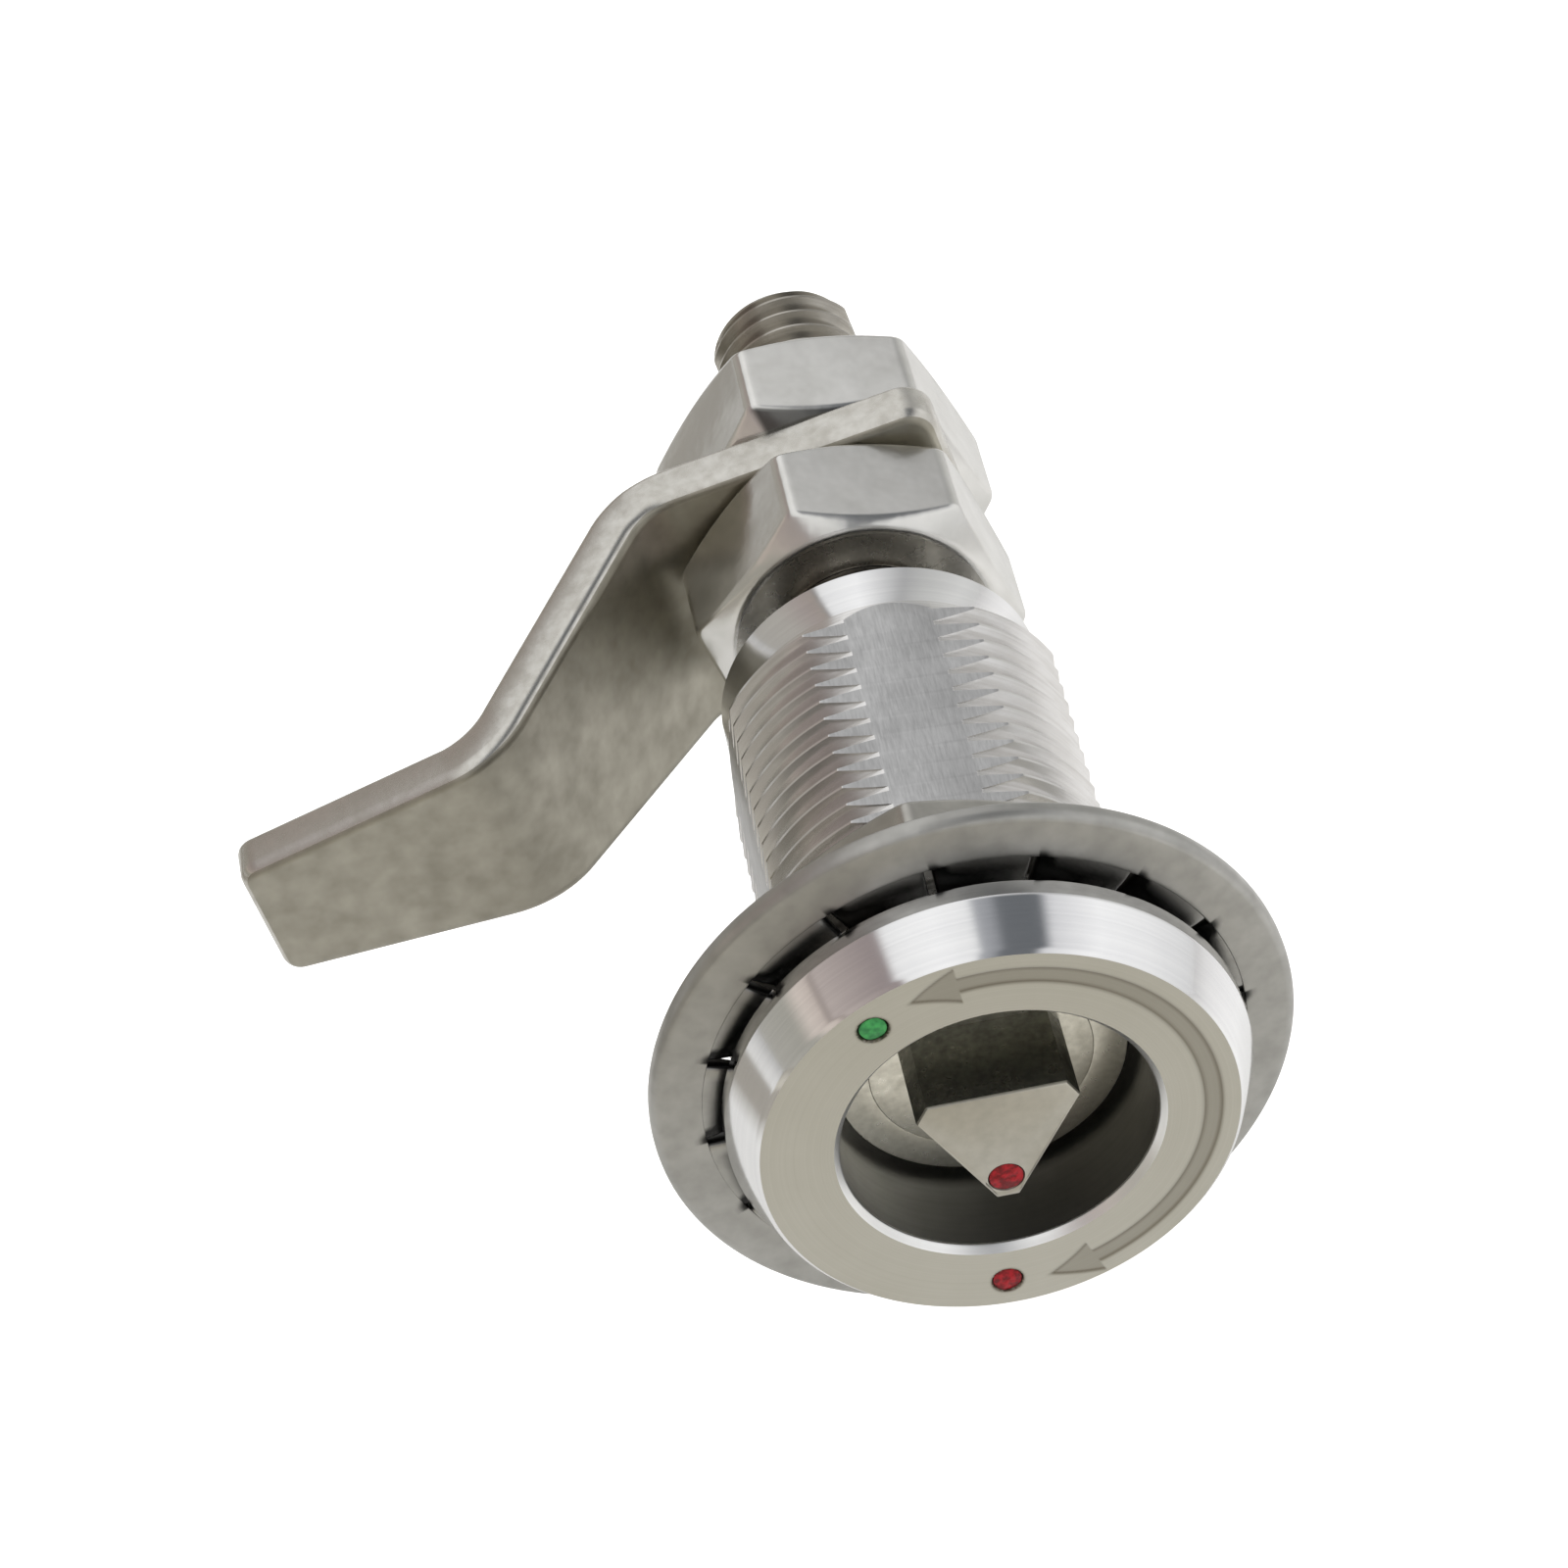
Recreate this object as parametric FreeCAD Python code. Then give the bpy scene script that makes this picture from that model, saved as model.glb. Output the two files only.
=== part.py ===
"""Stainless compression latch for a cabinet door, worked with a triangular key.

The lock axis is Y and points from the face of the flange to the back of the door.
The origin is the middle of the flange's rear face, where the latch seats on its panel.
Angles run from +Z towards -X, which is anticlockwise for someone who stands at the face.
All sizes are in millimetres.
"""

import FreeCAD, Part
import math
import os

V = FreeCAD.Vector
AXIS = V(0, 1, 0)
ORIGIN = V(0, 0, 0)

# Clearances
running = 0.05            # radial room of a part that turns or slides in another
seat_gap = 0.05           # room between flat faces that move past each other
press_gap = 0.02          # room left round a pressed or threaded piece
end_room = 0.3            # room at the end of a travel
step_room = 0.2           # room between a piece inside and the step behind or in front of it
cut_past = 1.0            # how far a cutting body reaches past the face it cuts
same_place = 1e-6         # two points this near are one

# Flange and its face
flange_r = 15.0
flange_t = 4.4
flange_land = 1.2         # height of the cylindrical band at the back of the flange
face_r = 13.8
face_break = 0.25         # rounding of the face's outer edge, as a bevel

# Key recess
recess_r = 9.0
recess_mouth = 0.4
floor_depth = 6.0         # from the face to the driver's collar

# Threaded body
body_r = 11.0
body_pitch = 1.5
thread_ratio = 0.6134     # depth of a metric external thread over its pitch
thread_root_half = 0.125  # half width of a groove's floor over the pitch
thread_crest_half = 0.0625
relief_w = 0.9            # least length of the plain neck behind the flange
thread_runout = 1.1
body_flat = 9.75          # distance of each flat from the axis
flat_count = 4
collar_r = 9.7
collar_len = 3.4
collar_break = 0.3

# Face marks
mark_r = 0.85
mark_depth = 0.3
mark_sink = 0.05
mark_ring = 11.7          # distance of the face marks from the axis
red_angle = 180.0
green_angle = 35.5
arrow_ring = 12.0
arrow_w = 1.0
arrow_head_w = 2.5
arrow_head_turn = 13.0
arrow_middle = 287.5
arrow_half_turn = 95.5
arrow_depth = 0.12

# Triangular driver
triangle_h = 8.0
triangle_inner = 3.05     # distance of each side from the axis
driver_turn = 3.0         # the driver's apex stands this far past the red mark
driver_mark_r = 1.0
driver_mark_ring = 3.46
collar_face_r = 6.4
collar_face_t = 1.0
driver_flange_r = 8.4
driver_flange_t = 0.8
barrel_r = 7.0
barrel_len = 23.0
barrel_wall = 2.1
barrel_floor = 4.0        # solid metal between the driver's flange and the bore

# Bearing, seal and clip of the driver
thrust_t = 0.7
thrust_rim = 0.1          # radial room round the thrust washer
seal_wire = 1.5
seal_groove_w = 1.8
seal_offset = 1.6         # from the flange's back to the groove
clip_t = 1.0
clip_groove_depth = 0.6
clip_side = 0.05
clip_gap = 50.0
clip_offset = 2.0         # from the groove's front to the barrel's end

# Rear of the housing
rear_bore_r = 8.0
channel_r = 8.75
rear_groove_r = 8.5
rear_lip = 0.6
rear_clip_band = 1.3
ear_r = 1.1
ear_hole_r = 0.45
ear_inset = 0.45          # from the clip's edge to the middle of an ear
ear_turn = 8.0            # from the clip's end to the middle of an ear

# Spindle, cross pin and spring
stud_r = 5.0
stud_pitch = 1.5
stud_flat = 4.5
stud_break = 0.8
spindle_front_r = 4.8
nose_r = 3.2
nose_len = 5.5
bore_front_room = 0.6
pin_r = 1.5
pin_short = 0.2
pin_behind_shoulder = 2.0
slot_room = 0.12
slot_past = 0.8           # how far the slot's cutter reaches past the barrel's wall
spring_wire = 0.7
spring_turns = 4
spring_side = 0.35
seat_t = 0.5
seat_rim = 0.2            # radial room round the spring seat
flat_lead = 1.2
neck_len = 8.6            # plain spindle between its stop ring and its thread

# Stop ring and rear bush
stop_t = 2.4
stop_lug = 24.0
lug_angle = 135.0
lug_room = 0.5            # turn left past each end of the lug's travel
key_room = 0.1
cam_turn = 90.0
bush_t = 2.6

# Travel of the latch
draw = 6.0
tighten_turn = 125.5

# Nuts and cam on the stud
nut_af = 18.0
nut_t = 8.0
nut_chamfer = 30.0
nut_land_w = 3.26         # width of the flat face round the bore
nut_bore_break = 0.08     # bevel of a nut's bore over its height
front_nut_angle = -7.5
rear_nut_angle = -3.4
stud_behind_nuts = 10.9
cam_from_collar = 13.1    # from the end of the housing to the front of the cam
cam_t = 3.0
cam_angle = 104.5
cam_root_half = 8.85      # half width of the cam round the stud
cam_root_behind = 8.4     # from the stud's axis to the end of the cam behind it
cam_root_corner = 2.0
cam_first_bend = 10.2
cam_offset = 14.8
cam_run = 12.3
cam_reach = 39.9
cam_tip_half = 4.5
cam_bend_r = 4.0
cam_corner_r = 1.2

# Panel nut and toothed washer
panel_nut_af = 27.0
panel_nut_land_w = 1.4
panel_nut_t = 5.5
panel_nut_y = 3.4
panel_nut_vertex = 10.5
washer_r = 18.5
washer_band = 2.9         # width of the washer's plain ring, outside its teeth
washer_t = 1.2
washer_break = 0.4
washer_dish = 0.2
washer_y = 1.9
washer_shift = 0.4
washer_tilt = 2.0
tooth_count = 16
tooth_inner_r = 12.2
tooth_slit = 1.3          # width of the gap between two teeth
tooth_t = 0.8
tooth_root = 0.4          # how far a tooth reaches into the ring
tooth_twist = -16.0
tooth_phase = 8.0         # angle of the first gap

# Planes along the axis that several pieces share
face_y = -flange_t
floor_y = face_y + floor_depth
driver_step_y = floor_y + collar_face_t
driver_back_y = driver_step_y + driver_flange_t
shoulder_y = driver_back_y + thrust_t + 2 * seat_gap
barrel_end_y = driver_back_y + barrel_len
clip_groove_y = barrel_end_y - clip_offset
clip_y = clip_groove_y + clip_side
rear_step_y = clip_y - step_room
stop_y = barrel_end_y + end_room * 2
channel_y = stop_y - step_room
bush_y = stop_y + stop_t + step_room
rear_groove_y = bush_y + bush_t + 2 * seat_gap
rear_clip_y = rear_groove_y + clip_side
body_end_y = rear_groove_y + clip_t + 2 * clip_side + rear_lip
thread_end_y = body_end_y - collar_len - thread_runout
thread_turns = math.floor((thread_end_y - relief_w) / body_pitch)
bore_y = driver_back_y + barrel_floor
nose_y = bore_y + bore_front_room
shoulder_spindle_y = nose_y + nose_len
pin_y = shoulder_spindle_y + pin_behind_shoulder
flat_y = stop_y - draw - flat_lead
cam_y = body_end_y + cam_from_collar
stud_thread_y = stop_y + stop_t + neck_len
stud_end_y = cam_y + cam_t + nut_t + stud_behind_nuts
washer_ring_r = washer_r - washer_band
housing_bore_r = barrel_r + running
barrel_bore_r = barrel_r - barrel_wall
apex_angle = red_angle + driver_turn


def polar(radius, angle, y=0.0):
    """Point at a radius and an angle round the lock axis."""
    turn = math.radians(angle)
    return V(-radius * math.sin(turn), y, radius * math.cos(turn))


def spun(shape, angle):
    """Copy of a shape turned anticlockwise, seen from the face."""
    turned_shape = shape.copy()
    turned_shape.rotate(ORIGIN, V(0, -1, 0), angle)
    return turned_shape


def disc(radius, start, end):
    """Cylinder on the lock axis."""
    return Part.makeCylinder(radius, end - start, V(0, start, 0), AXIS)


def ring(outer, inner, start, end):
    """Plain ring on the lock axis."""
    return disc(outer, start, end).cut(disc(inner, start - cut_past, end + cut_past))


def lathe(points):
    """Solid of revolution from (radius, y) corners."""
    corners = [V(radius, y, 0) for radius, y in points]
    face = Part.Face(Part.makePolygon(corners + corners[:1]))
    return face.revolve(ORIGIN, AXIS, 360)


def prism(corners, depth):
    """Straight solid on a closed outline that lies square to the lock axis."""
    face = Part.Face(Part.makePolygon(corners + corners[:1]))
    return face.extrude(V(0, depth, 0))


def sector(outer, inner, first, last, start, depth):
    """Part of a ring between two angles."""
    middle = (first + last) / 2
    edges = [
        Part.Arc(polar(outer, first, start), polar(outer, middle, start), polar(outer, last, start)),
        Part.LineSegment(polar(outer, last, start), polar(inner, last, start)),
        Part.Arc(polar(inner, last, start), polar(inner, middle, start), polar(inner, first, start)),
        Part.LineSegment(polar(inner, first, start), polar(outer, first, start)),
    ]
    wire = Part.Wire([edge.toShape() for edge in edges])
    return Part.Face(wire).extrude(V(0, depth, 0))


def hexagon(across_flats, vertex_angle, start, depth):
    """Hexagonal bar."""
    corner_r = across_flats / math.sqrt(3)
    corners = [polar(corner_r, vertex_angle + 60 * side, start) for side in range(6)]
    return prism(corners, depth)


def nut(across_flats, height, bore_r, land_w, vertex_angle, start):
    """Hexagon nut with a 30 degree bevel on both faces and a broken bore edge."""
    corner_r = across_flats / math.sqrt(3) + cut_past
    land_r = bore_r + land_w
    drop = (corner_r - land_r) * math.tan(math.radians(nut_chamfer))
    end = start + height
    bore_break = height * nut_bore_break
    envelope = lathe([
        (bore_r, start + bore_break),
        (bore_r + bore_break, start),
        (land_r, start),
        (corner_r, start + drop),
        (corner_r, end - drop),
        (land_r, end),
        (bore_r + bore_break, end),
        (bore_r, end - bore_break),
    ])
    return hexagon(across_flats, vertex_angle, start, height).common(envelope)


def thread_points(crest, pitch, start, turns):
    """Corners of V grooves cut at one pitch along a bar."""
    root = crest - thread_ratio * pitch
    points = []
    for turn in range(turns):
        base = start + turn * pitch
        middle = base + pitch / 2
        points.append((root, base + pitch * thread_root_half))
        points.append((crest, middle - pitch * thread_crest_half))
        points.append((crest, middle + pitch * thread_crest_half))
        points.append((root, base + pitch * (1 - thread_root_half)))
    return points


def double_d(radius, flat, start, depth):
    """Bar with two flats whose normals lie along the cam."""
    bar = disc(radius, start, start + depth)
    slab = Part.makeBox(4 * radius, depth, 2 * flat, V(-2 * radius, start, -flat))
    return bar.common(spun(slab, cam_angle))


def snap_ring(outer, inner, start, gap_middle, gap, ears):
    """Retaining ring with a gap and, where asked, two ears with plier holes."""
    body = ring(outer, inner, start, start + clip_t)
    half = gap / 2
    opening = sector(outer + ear_r, inner - ear_r, gap_middle - half, gap_middle + half, start - cut_past,
                     clip_t + 2 * cut_past)
    body = body.cut(opening)
    if ears == 0:
        return body
    holes = []
    ear_ring = (inner if ears < 0 else outer) + ears * ear_inset
    for side in (-1, 1):
        centre = polar(ear_ring, gap_middle + side * (half + ear_turn), start)
        body = body.fuse(Part.makeCylinder(ear_r, clip_t, centre, AXIS))
        holes.append(Part.makeCylinder(ear_hole_r, clip_t + 2 * cut_past, centre - AXIS * cut_past, AXIS))
    for hole in holes:
        body = body.cut(hole)
    return body.removeSplitter()


def arrow_groove():
    """Shallow curved arrow with a head at both ends, cut in the face."""
    depth = arrow_depth + cut_past
    start = face_y - cut_past
    reach = arrow_half_turn - arrow_head_turn
    inner = arrow_ring - arrow_w / 2
    groove = sector(inner + arrow_w, inner, arrow_middle - reach, arrow_middle + reach, start, depth)
    for side in (-1, 1):
        base = arrow_middle + side * reach
        tip = arrow_middle + side * arrow_half_turn
        head = prism([
            polar(arrow_ring - arrow_head_w / 2, base, start),
            polar(arrow_ring, tip, start),
            polar(arrow_ring + arrow_head_w / 2, base, start),
        ], depth)
        groove = groove.fuse(head)
    return groove


def housing():
    """Flange, threaded body and stepped bore, turned from one bar."""
    root = body_r - thread_ratio * body_pitch
    outer = [
        (recess_r + recess_mouth, face_y),
        (face_r - face_break, face_y),
        (face_r, face_y + face_break),
        (flange_r, -flange_land),
        (flange_r, 0),
        (root, 0),
    ]
    outer += thread_points(body_r, body_pitch, thread_end_y - thread_turns * body_pitch, thread_turns)
    outer += [
        (root, thread_end_y),
        (collar_r, thread_end_y + thread_runout),
        (collar_r, body_end_y - collar_break),
        (collar_r - collar_break, body_end_y),
    ]
    inner = [
        (rear_bore_r, body_end_y),
        (rear_bore_r, rear_groove_y + clip_t + 2 * clip_side),
        (rear_groove_r, rear_groove_y + clip_t + 2 * clip_side),
        (rear_groove_r, rear_groove_y),
        (rear_bore_r, rear_groove_y),
        (rear_bore_r, rear_step_y),
        (housing_bore_r, rear_step_y),
        (housing_bore_r, shoulder_y),
        (recess_r, shoulder_y),
        (recess_r, face_y + recess_mouth),
    ]
    shape = lathe(outer + inner)
    span = 4 * body_r
    for side in range(flat_count):
        block = Part.makeBox(span, body_end_y + cut_past, body_r, V(-span / 2, 0, body_flat))
        shape = shape.cut(spun(block, side * 360 / flat_count))
    half = stop_lug / 2 + lug_room
    channel = sector(channel_r, rear_bore_r - cut_past, lug_angle - half, lug_angle + cam_turn + half,
                     channel_y, body_end_y - channel_y + cut_past)
    shape = shape.cut(channel)
    for angle in (red_angle, green_angle):
        centre = polar(mark_ring, angle, face_y - cut_past)
        shape = shape.cut(Part.makeCylinder(mark_r, mark_depth + cut_past, centre, AXIS))
    return shape.cut(arrow_groove())


def mark(radius, centre, angle):
    """Disc of paint that fills a drilled dimple."""
    start = polar(centre, angle, face_y + mark_sink)
    return Part.makeCylinder(radius - press_gap, mark_depth - mark_sink, start, AXIS)


def triangle(start, depth):
    """Triangular bar with its three corners cut off."""
    corner = triangle_h - triangle_inner
    half = (2 * triangle_inner - corner) * math.tan(math.radians(30))
    corners = []
    for side in range(3):
        angle = apex_angle + 120 * side
        along = polar(1, angle)
        across = polar(1, angle + 90)
        for sign in (-1, 1):
            corners.append(along * corner + across * sign * half + V(0, start, 0))
    return prism(corners, depth)


def helical_slot(first_angle):
    """Cutters for the slot that draws the cross pin along the axis as the driver turns."""
    lead = draw * 360 / tighten_turn
    lean = math.atan(lead / (2 * math.pi * barrel_bore_r))
    half_h = (pin_r + slot_room) / math.cos(lean)
    inner = barrel_bore_r - slot_past
    outer = barrel_r + slot_past
    path = Part.makeHelix(lead, draw, (inner + outer) / 2)
    path.rotate(ORIGIN, V(1, 0, 0), -90)
    path.translate(V(0, pin_y, 0))
    start = path.Vertexes[0].Point
    along = V(start.x, 0, start.z).normalize()
    corners = []
    for radius, height in ((inner, -half_h), (outer, -half_h), (outer, half_h), (inner, half_h)):
        corners.append(along * radius + V(0, pin_y + height, 0))
    profile = Part.makePolygon(corners + corners[:1])
    shell = Part.BRepOffsetAPI.MakePipeShell(Part.Wire(path.Edges))
    shell.setFrenetMode(True)
    shell.add(profile)
    shell.build()
    shell.makeSolid()
    cutters = [shell.shape()]
    for vertex in path.Vertexes:
        point = vertex.Point
        across = V(point.x, 0, point.z).normalize()
        cutters.append(Part.makeCylinder(half_h, outer - inner, across * inner + V(0, point.y, 0), across))
    start_angle = math.degrees(math.atan2(-along.x, along.z))
    return [spun(cutter, first_angle - start_angle) for cutter in cutters]


def driver():
    """Triangular key end, collar, flange and slotted barrel in one piece."""
    groove_y = driver_back_y + seal_offset
    groove_r = barrel_r + running - seal_wire
    clip_r = barrel_r - clip_groove_depth
    body = lathe([
        (0, floor_y),
        (collar_face_r, floor_y),
        (collar_face_r, driver_step_y),
        (driver_flange_r, driver_step_y),
        (driver_flange_r, driver_back_y),
        (barrel_r, driver_back_y),
        (barrel_r, groove_y),
        (groove_r, groove_y),
        (groove_r, groove_y + seal_groove_w),
        (barrel_r, groove_y + seal_groove_w),
        (barrel_r, clip_groove_y),
        (clip_r, clip_groove_y),
        (clip_r, clip_groove_y + clip_t + 2 * clip_side),
        (barrel_r, clip_groove_y + clip_t + 2 * clip_side),
        (barrel_r, barrel_end_y),
        (barrel_bore_r, barrel_end_y),
        (barrel_bore_r, bore_y),
        (0, bore_y),
    ])
    body = body.fuse(triangle(face_y, floor_y - face_y)).removeSplitter()
    for side in (0, 180):
        for cutter in helical_slot(cam_angle + side):
            body = body.cut(cutter)
    centre = polar(driver_mark_ring, apex_angle, face_y - cut_past)
    return body.cut(Part.makeCylinder(driver_mark_r, mark_depth + cut_past, centre, AXIS))


def face_ring():
    """Worn ring pressed round the driver's collar, seen as the recess floor."""
    return ring(driver_flange_r, collar_face_r + press_gap, floor_y, driver_step_y - press_gap)


def thrust_washer():
    """Plastic washer that the driver's flange turns on."""
    start = driver_back_y + seat_gap
    return ring(recess_r - thrust_rim, barrel_r + thrust_rim, start, start + thrust_t)


def driver_seal():
    """O-ring in the barrel's groove, drawn as it lies squeezed against the bore."""
    section = (seal_wire - press_gap * 2) / 2
    middle_y = driver_back_y + seal_offset + seal_groove_w / 2
    return Part.makeTorus(barrel_r + running - press_gap - section, section, V(0, middle_y, 0), AXIS)


def driver_clip():
    """Outside retaining ring that keeps the driver in the housing."""
    inner = barrel_r - clip_groove_depth + press_gap
    return snap_ring(rear_bore_r - running * 2, inner, clip_y, 0, clip_gap, 0)


def spindle():
    """Drawbar with a nose, a cross hole, two flats and a threaded end."""
    neck_r = stud_r - running
    shoulder = shoulder_spindle_y
    step_y = barrel_end_y + end_room
    points = [
        (0, nose_y),
        (nose_r, nose_y),
        (nose_r, shoulder),
        (spindle_front_r, shoulder),
        (spindle_front_r, step_y),
        (neck_r, step_y),
        (neck_r, stud_thread_y),
    ]
    length = stud_end_y - stud_break - stud_thread_y
    turns = math.floor(length / stud_pitch)
    thread_start = stud_end_y - stud_break - turns * stud_pitch
    points += thread_points(stud_r, stud_pitch, thread_start, turns)
    root = stud_r - thread_ratio * stud_pitch
    points += [(root, stud_end_y), (0, stud_end_y)]
    bar = lathe(points)
    wide_r = stud_r + cut_past
    front = disc(wide_r, nose_y - cut_past, flat_y)
    keyed = double_d(wide_r, stud_flat, flat_y, stud_end_y - flat_y + cut_past)
    bar = bar.common(front.fuse(keyed))
    hole_start = polar(wide_r, cam_angle, pin_y)
    hole = Part.makeCylinder(pin_r + press_gap, 2 * wide_r, hole_start, polar(-1, cam_angle))
    return bar.cut(hole)


def cross_pin():
    """Hard pin through the spindle; its ends run in the driver's slots."""
    half = barrel_r - pin_short
    return Part.makeCylinder(pin_r, 2 * half, polar(half, cam_angle, pin_y), polar(-1, cam_angle))


def spring_seat():
    """Thin washer between the spring and the spindle's shoulder."""
    end = shoulder_spindle_y - press_gap
    return ring(barrel_bore_r - seat_rim, nose_r + running, end - seat_t, end)


def biarc(start, start_dir, end, end_dir):
    """Two arcs that join two points and keep both directions."""
    chord = end.sub(start)
    both = start_dir.add(end_dir)
    a = both.dot(both) - 4
    b = -2 * chord.dot(both)
    c = chord.dot(chord)
    reach = (-b - math.sqrt(b * b - 4 * a * c)) / (2 * a)
    first = start.add(start_dir * reach)
    second = end.sub(end_dir * reach)
    joint = (first + second) * 0.5
    arcs = []
    for low, knee, high in ((start, first, joint), (joint, second, end)):
        middle = (low + high) * 0.5
        to_knee = knee.sub(middle)
        half_chord = high.sub(low).Length / 2
        rise = to_knee.Length
        sagitta = half_chord * (math.hypot(half_chord, rise) - half_chord) / rise
        crown = middle.add(to_knee * (sagitta / rise))
        arcs.append(Part.Arc(low, crown, high).toShape())
    return arcs


def compression_spring():
    """Round wire coil between the barrel's floor and the spring seat."""
    coil_r = barrel_bore_r - spring_side - spring_wire / 2
    first_y = bore_y + seat_gap + spring_wire / 2
    last_y = shoulder_spindle_y - press_gap - seat_t - seat_gap - spring_wire / 2
    quarters = spring_turns * 4
    rise = (last_y - first_y) / quarters
    pitch = rise * 4

    def point(step):
        return polar(coil_r, 90 * step, first_y + rise * step)

    def direction(step):
        flat = polar(2 * math.pi * coil_r, 90 * step + 90)
        return (flat + V(0, pitch, 0)).normalize()

    edges = []
    for step in range(quarters):
        edges += biarc(point(step), direction(step), point(step + 1), direction(step + 1))
    circle = Part.Wire(Part.Circle(point(0), direction(0), spring_wire / 2).toShape())
    shell = Part.BRepOffsetAPI.MakePipeShell(Part.Wire(edges))
    shell.add(circle)
    shell.build()
    shell.makeSolid()
    print("spring: least gap between turns %.2f mm" % (pitch - spring_wire))
    return shell.shape()


def stop_ring():
    """Ring keyed on the spindle; its lug ends the quarter turn of the cam."""
    body = disc(rear_bore_r - running * 2, stop_y, stop_y + stop_t)
    half = stop_lug / 2
    lug = sector(channel_r - running * 2, rear_bore_r - cut_past, lug_angle - half, lug_angle + half,
                 stop_y, stop_t)
    hole = double_d(stud_r + running, stud_flat + running, stop_y - cut_past, stop_t + 2 * cut_past)
    return body.fuse(lug).removeSplitter().cut(hole)


def rear_bush():
    """Keyed bush that closes the housing and guides the spindle."""
    body = disc(rear_bore_r - press_gap, bush_y, bush_y + bush_t)
    half = stop_lug / 2 + lug_room - key_room
    key = sector(channel_r - press_gap, rear_bore_r - cut_past, lug_angle - half, lug_angle + cam_turn + half,
                 bush_y, bush_t)
    hole = disc(stud_r + running, bush_y - cut_past, bush_y + bush_t + cut_past)
    return body.fuse(key).removeSplitter().cut(hole)


def rear_clip():
    """Inside retaining ring behind the rear bush."""
    outer = rear_groove_r - press_gap
    return snap_ring(outer, rear_bore_r - rear_clip_band, rear_clip_y, lug_angle + cam_turn / 2, clip_gap, -1)


def cam_width(along):
    """Half width of the cam at a distance along its bent strip."""
    slope = math.hypot(cam_run, cam_offset)
    whole = cam_reach - cam_run + slope
    share = max(0.0, (along - cam_first_bend) / (whole - cam_first_bend))
    return cam_root_half + (cam_tip_half - cam_root_half) * share


def cam():
    """Tapered strip with two bends that carries the striking face forward."""
    lean = math.atan2(cam_offset, cam_run)
    second_bend = cam_first_bend + cam_run
    wide = cam_root_half + cut_past
    front = [(-wide, 0), (cam_first_bend, 0), (second_bend, -cam_offset), (cam_reach, -cam_offset)]
    shift = cam_t * math.tan(lean / 2)
    back = [(-wide, cam_t), (cam_first_bend + shift, cam_t), (second_bend + shift, cam_t - cam_offset),
            (cam_reach, cam_t - cam_offset)]
    outline = front + back[::-1]
    corners = [V(0, cam_y + y, u) for u, y in outline]
    bends = {
        (cam_first_bend, 0): cam_bend_r,
        (second_bend, -cam_offset): cam_bend_r + cam_t,
        (cam_first_bend + shift, cam_t): cam_bend_r + cam_t,
        (second_bend + shift, cam_t - cam_offset): cam_bend_r,
    }
    strip = Part.Face(Part.makePolygon(corners + corners[:1])).extrude(V(2 * wide, 0, 0))
    strip.translate(V(-wide, 0, 0))
    for (u, y), radius in bends.items():
        edges = [edge for edge in strip.Edges if lies_on(edge, u, cam_y + y)]
        strip = strip.makeFillet(radius, edges)
    slope = math.hypot(cam_run, cam_offset)
    stations = [(-cam_root_behind, 0), (cam_first_bend, cam_first_bend), (second_bend, cam_first_bend + slope),
                (cam_reach, cam_first_bend + slope + cam_reach - second_bend)]
    side = [(u, cam_width(along)) for u, along in stations]
    depth = cam_offset + cam_t + 2 * cut_past
    low = cam_y - cam_offset - cut_past
    plan = [V(half, low, u) for u, half in side] + [V(-half, low, u) for u, half in side[::-1]]
    blank = prism(plan, depth)
    tips = [edge for edge in blank.Edges if stands_at(edge, cam_reach)]
    blank = blank.makeFillet(cam_corner_r, tips)
    roots = [edge for edge in blank.Edges if stands_at(edge, -cam_root_behind)]
    blank = blank.makeFillet(cam_root_corner, roots)
    shape = spun(strip.common(blank), cam_angle)
    return shape.cut(double_d(stud_r + running, stud_flat + running, cam_y - cut_past, cam_t + 2 * cut_past))


def lies_on(edge, u, y):
    """True for an edge that runs across the cam at one place of its side view."""
    ends = [vertex.Point for vertex in edge.Vertexes]
    return len(ends) == 2 and all(abs(p.z - u) < same_place and abs(p.y - y) < same_place for p in ends)


def stands_at(edge, u):
    """True for an edge that runs through the blank's thickness at one of its ends."""
    ends = [vertex.Point for vertex in edge.Vertexes]
    return all(abs(p.z - u) < same_place for p in ends) and abs(ends[0].y - ends[-1].y) > cam_t


def cam_nut(start, flat_angle):
    """One of the two nuts that clamp the cam."""
    return nut(nut_af, nut_t, stud_r + press_gap, nut_land_w, flat_angle + 30, start)


def panel_nut():
    """Thin nut that clamps the panel against the flange."""
    bore_r = body_r + press_gap
    return nut(panel_nut_af, panel_nut_t, bore_r, panel_nut_land_w, panel_nut_vertex, panel_nut_y)


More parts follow.
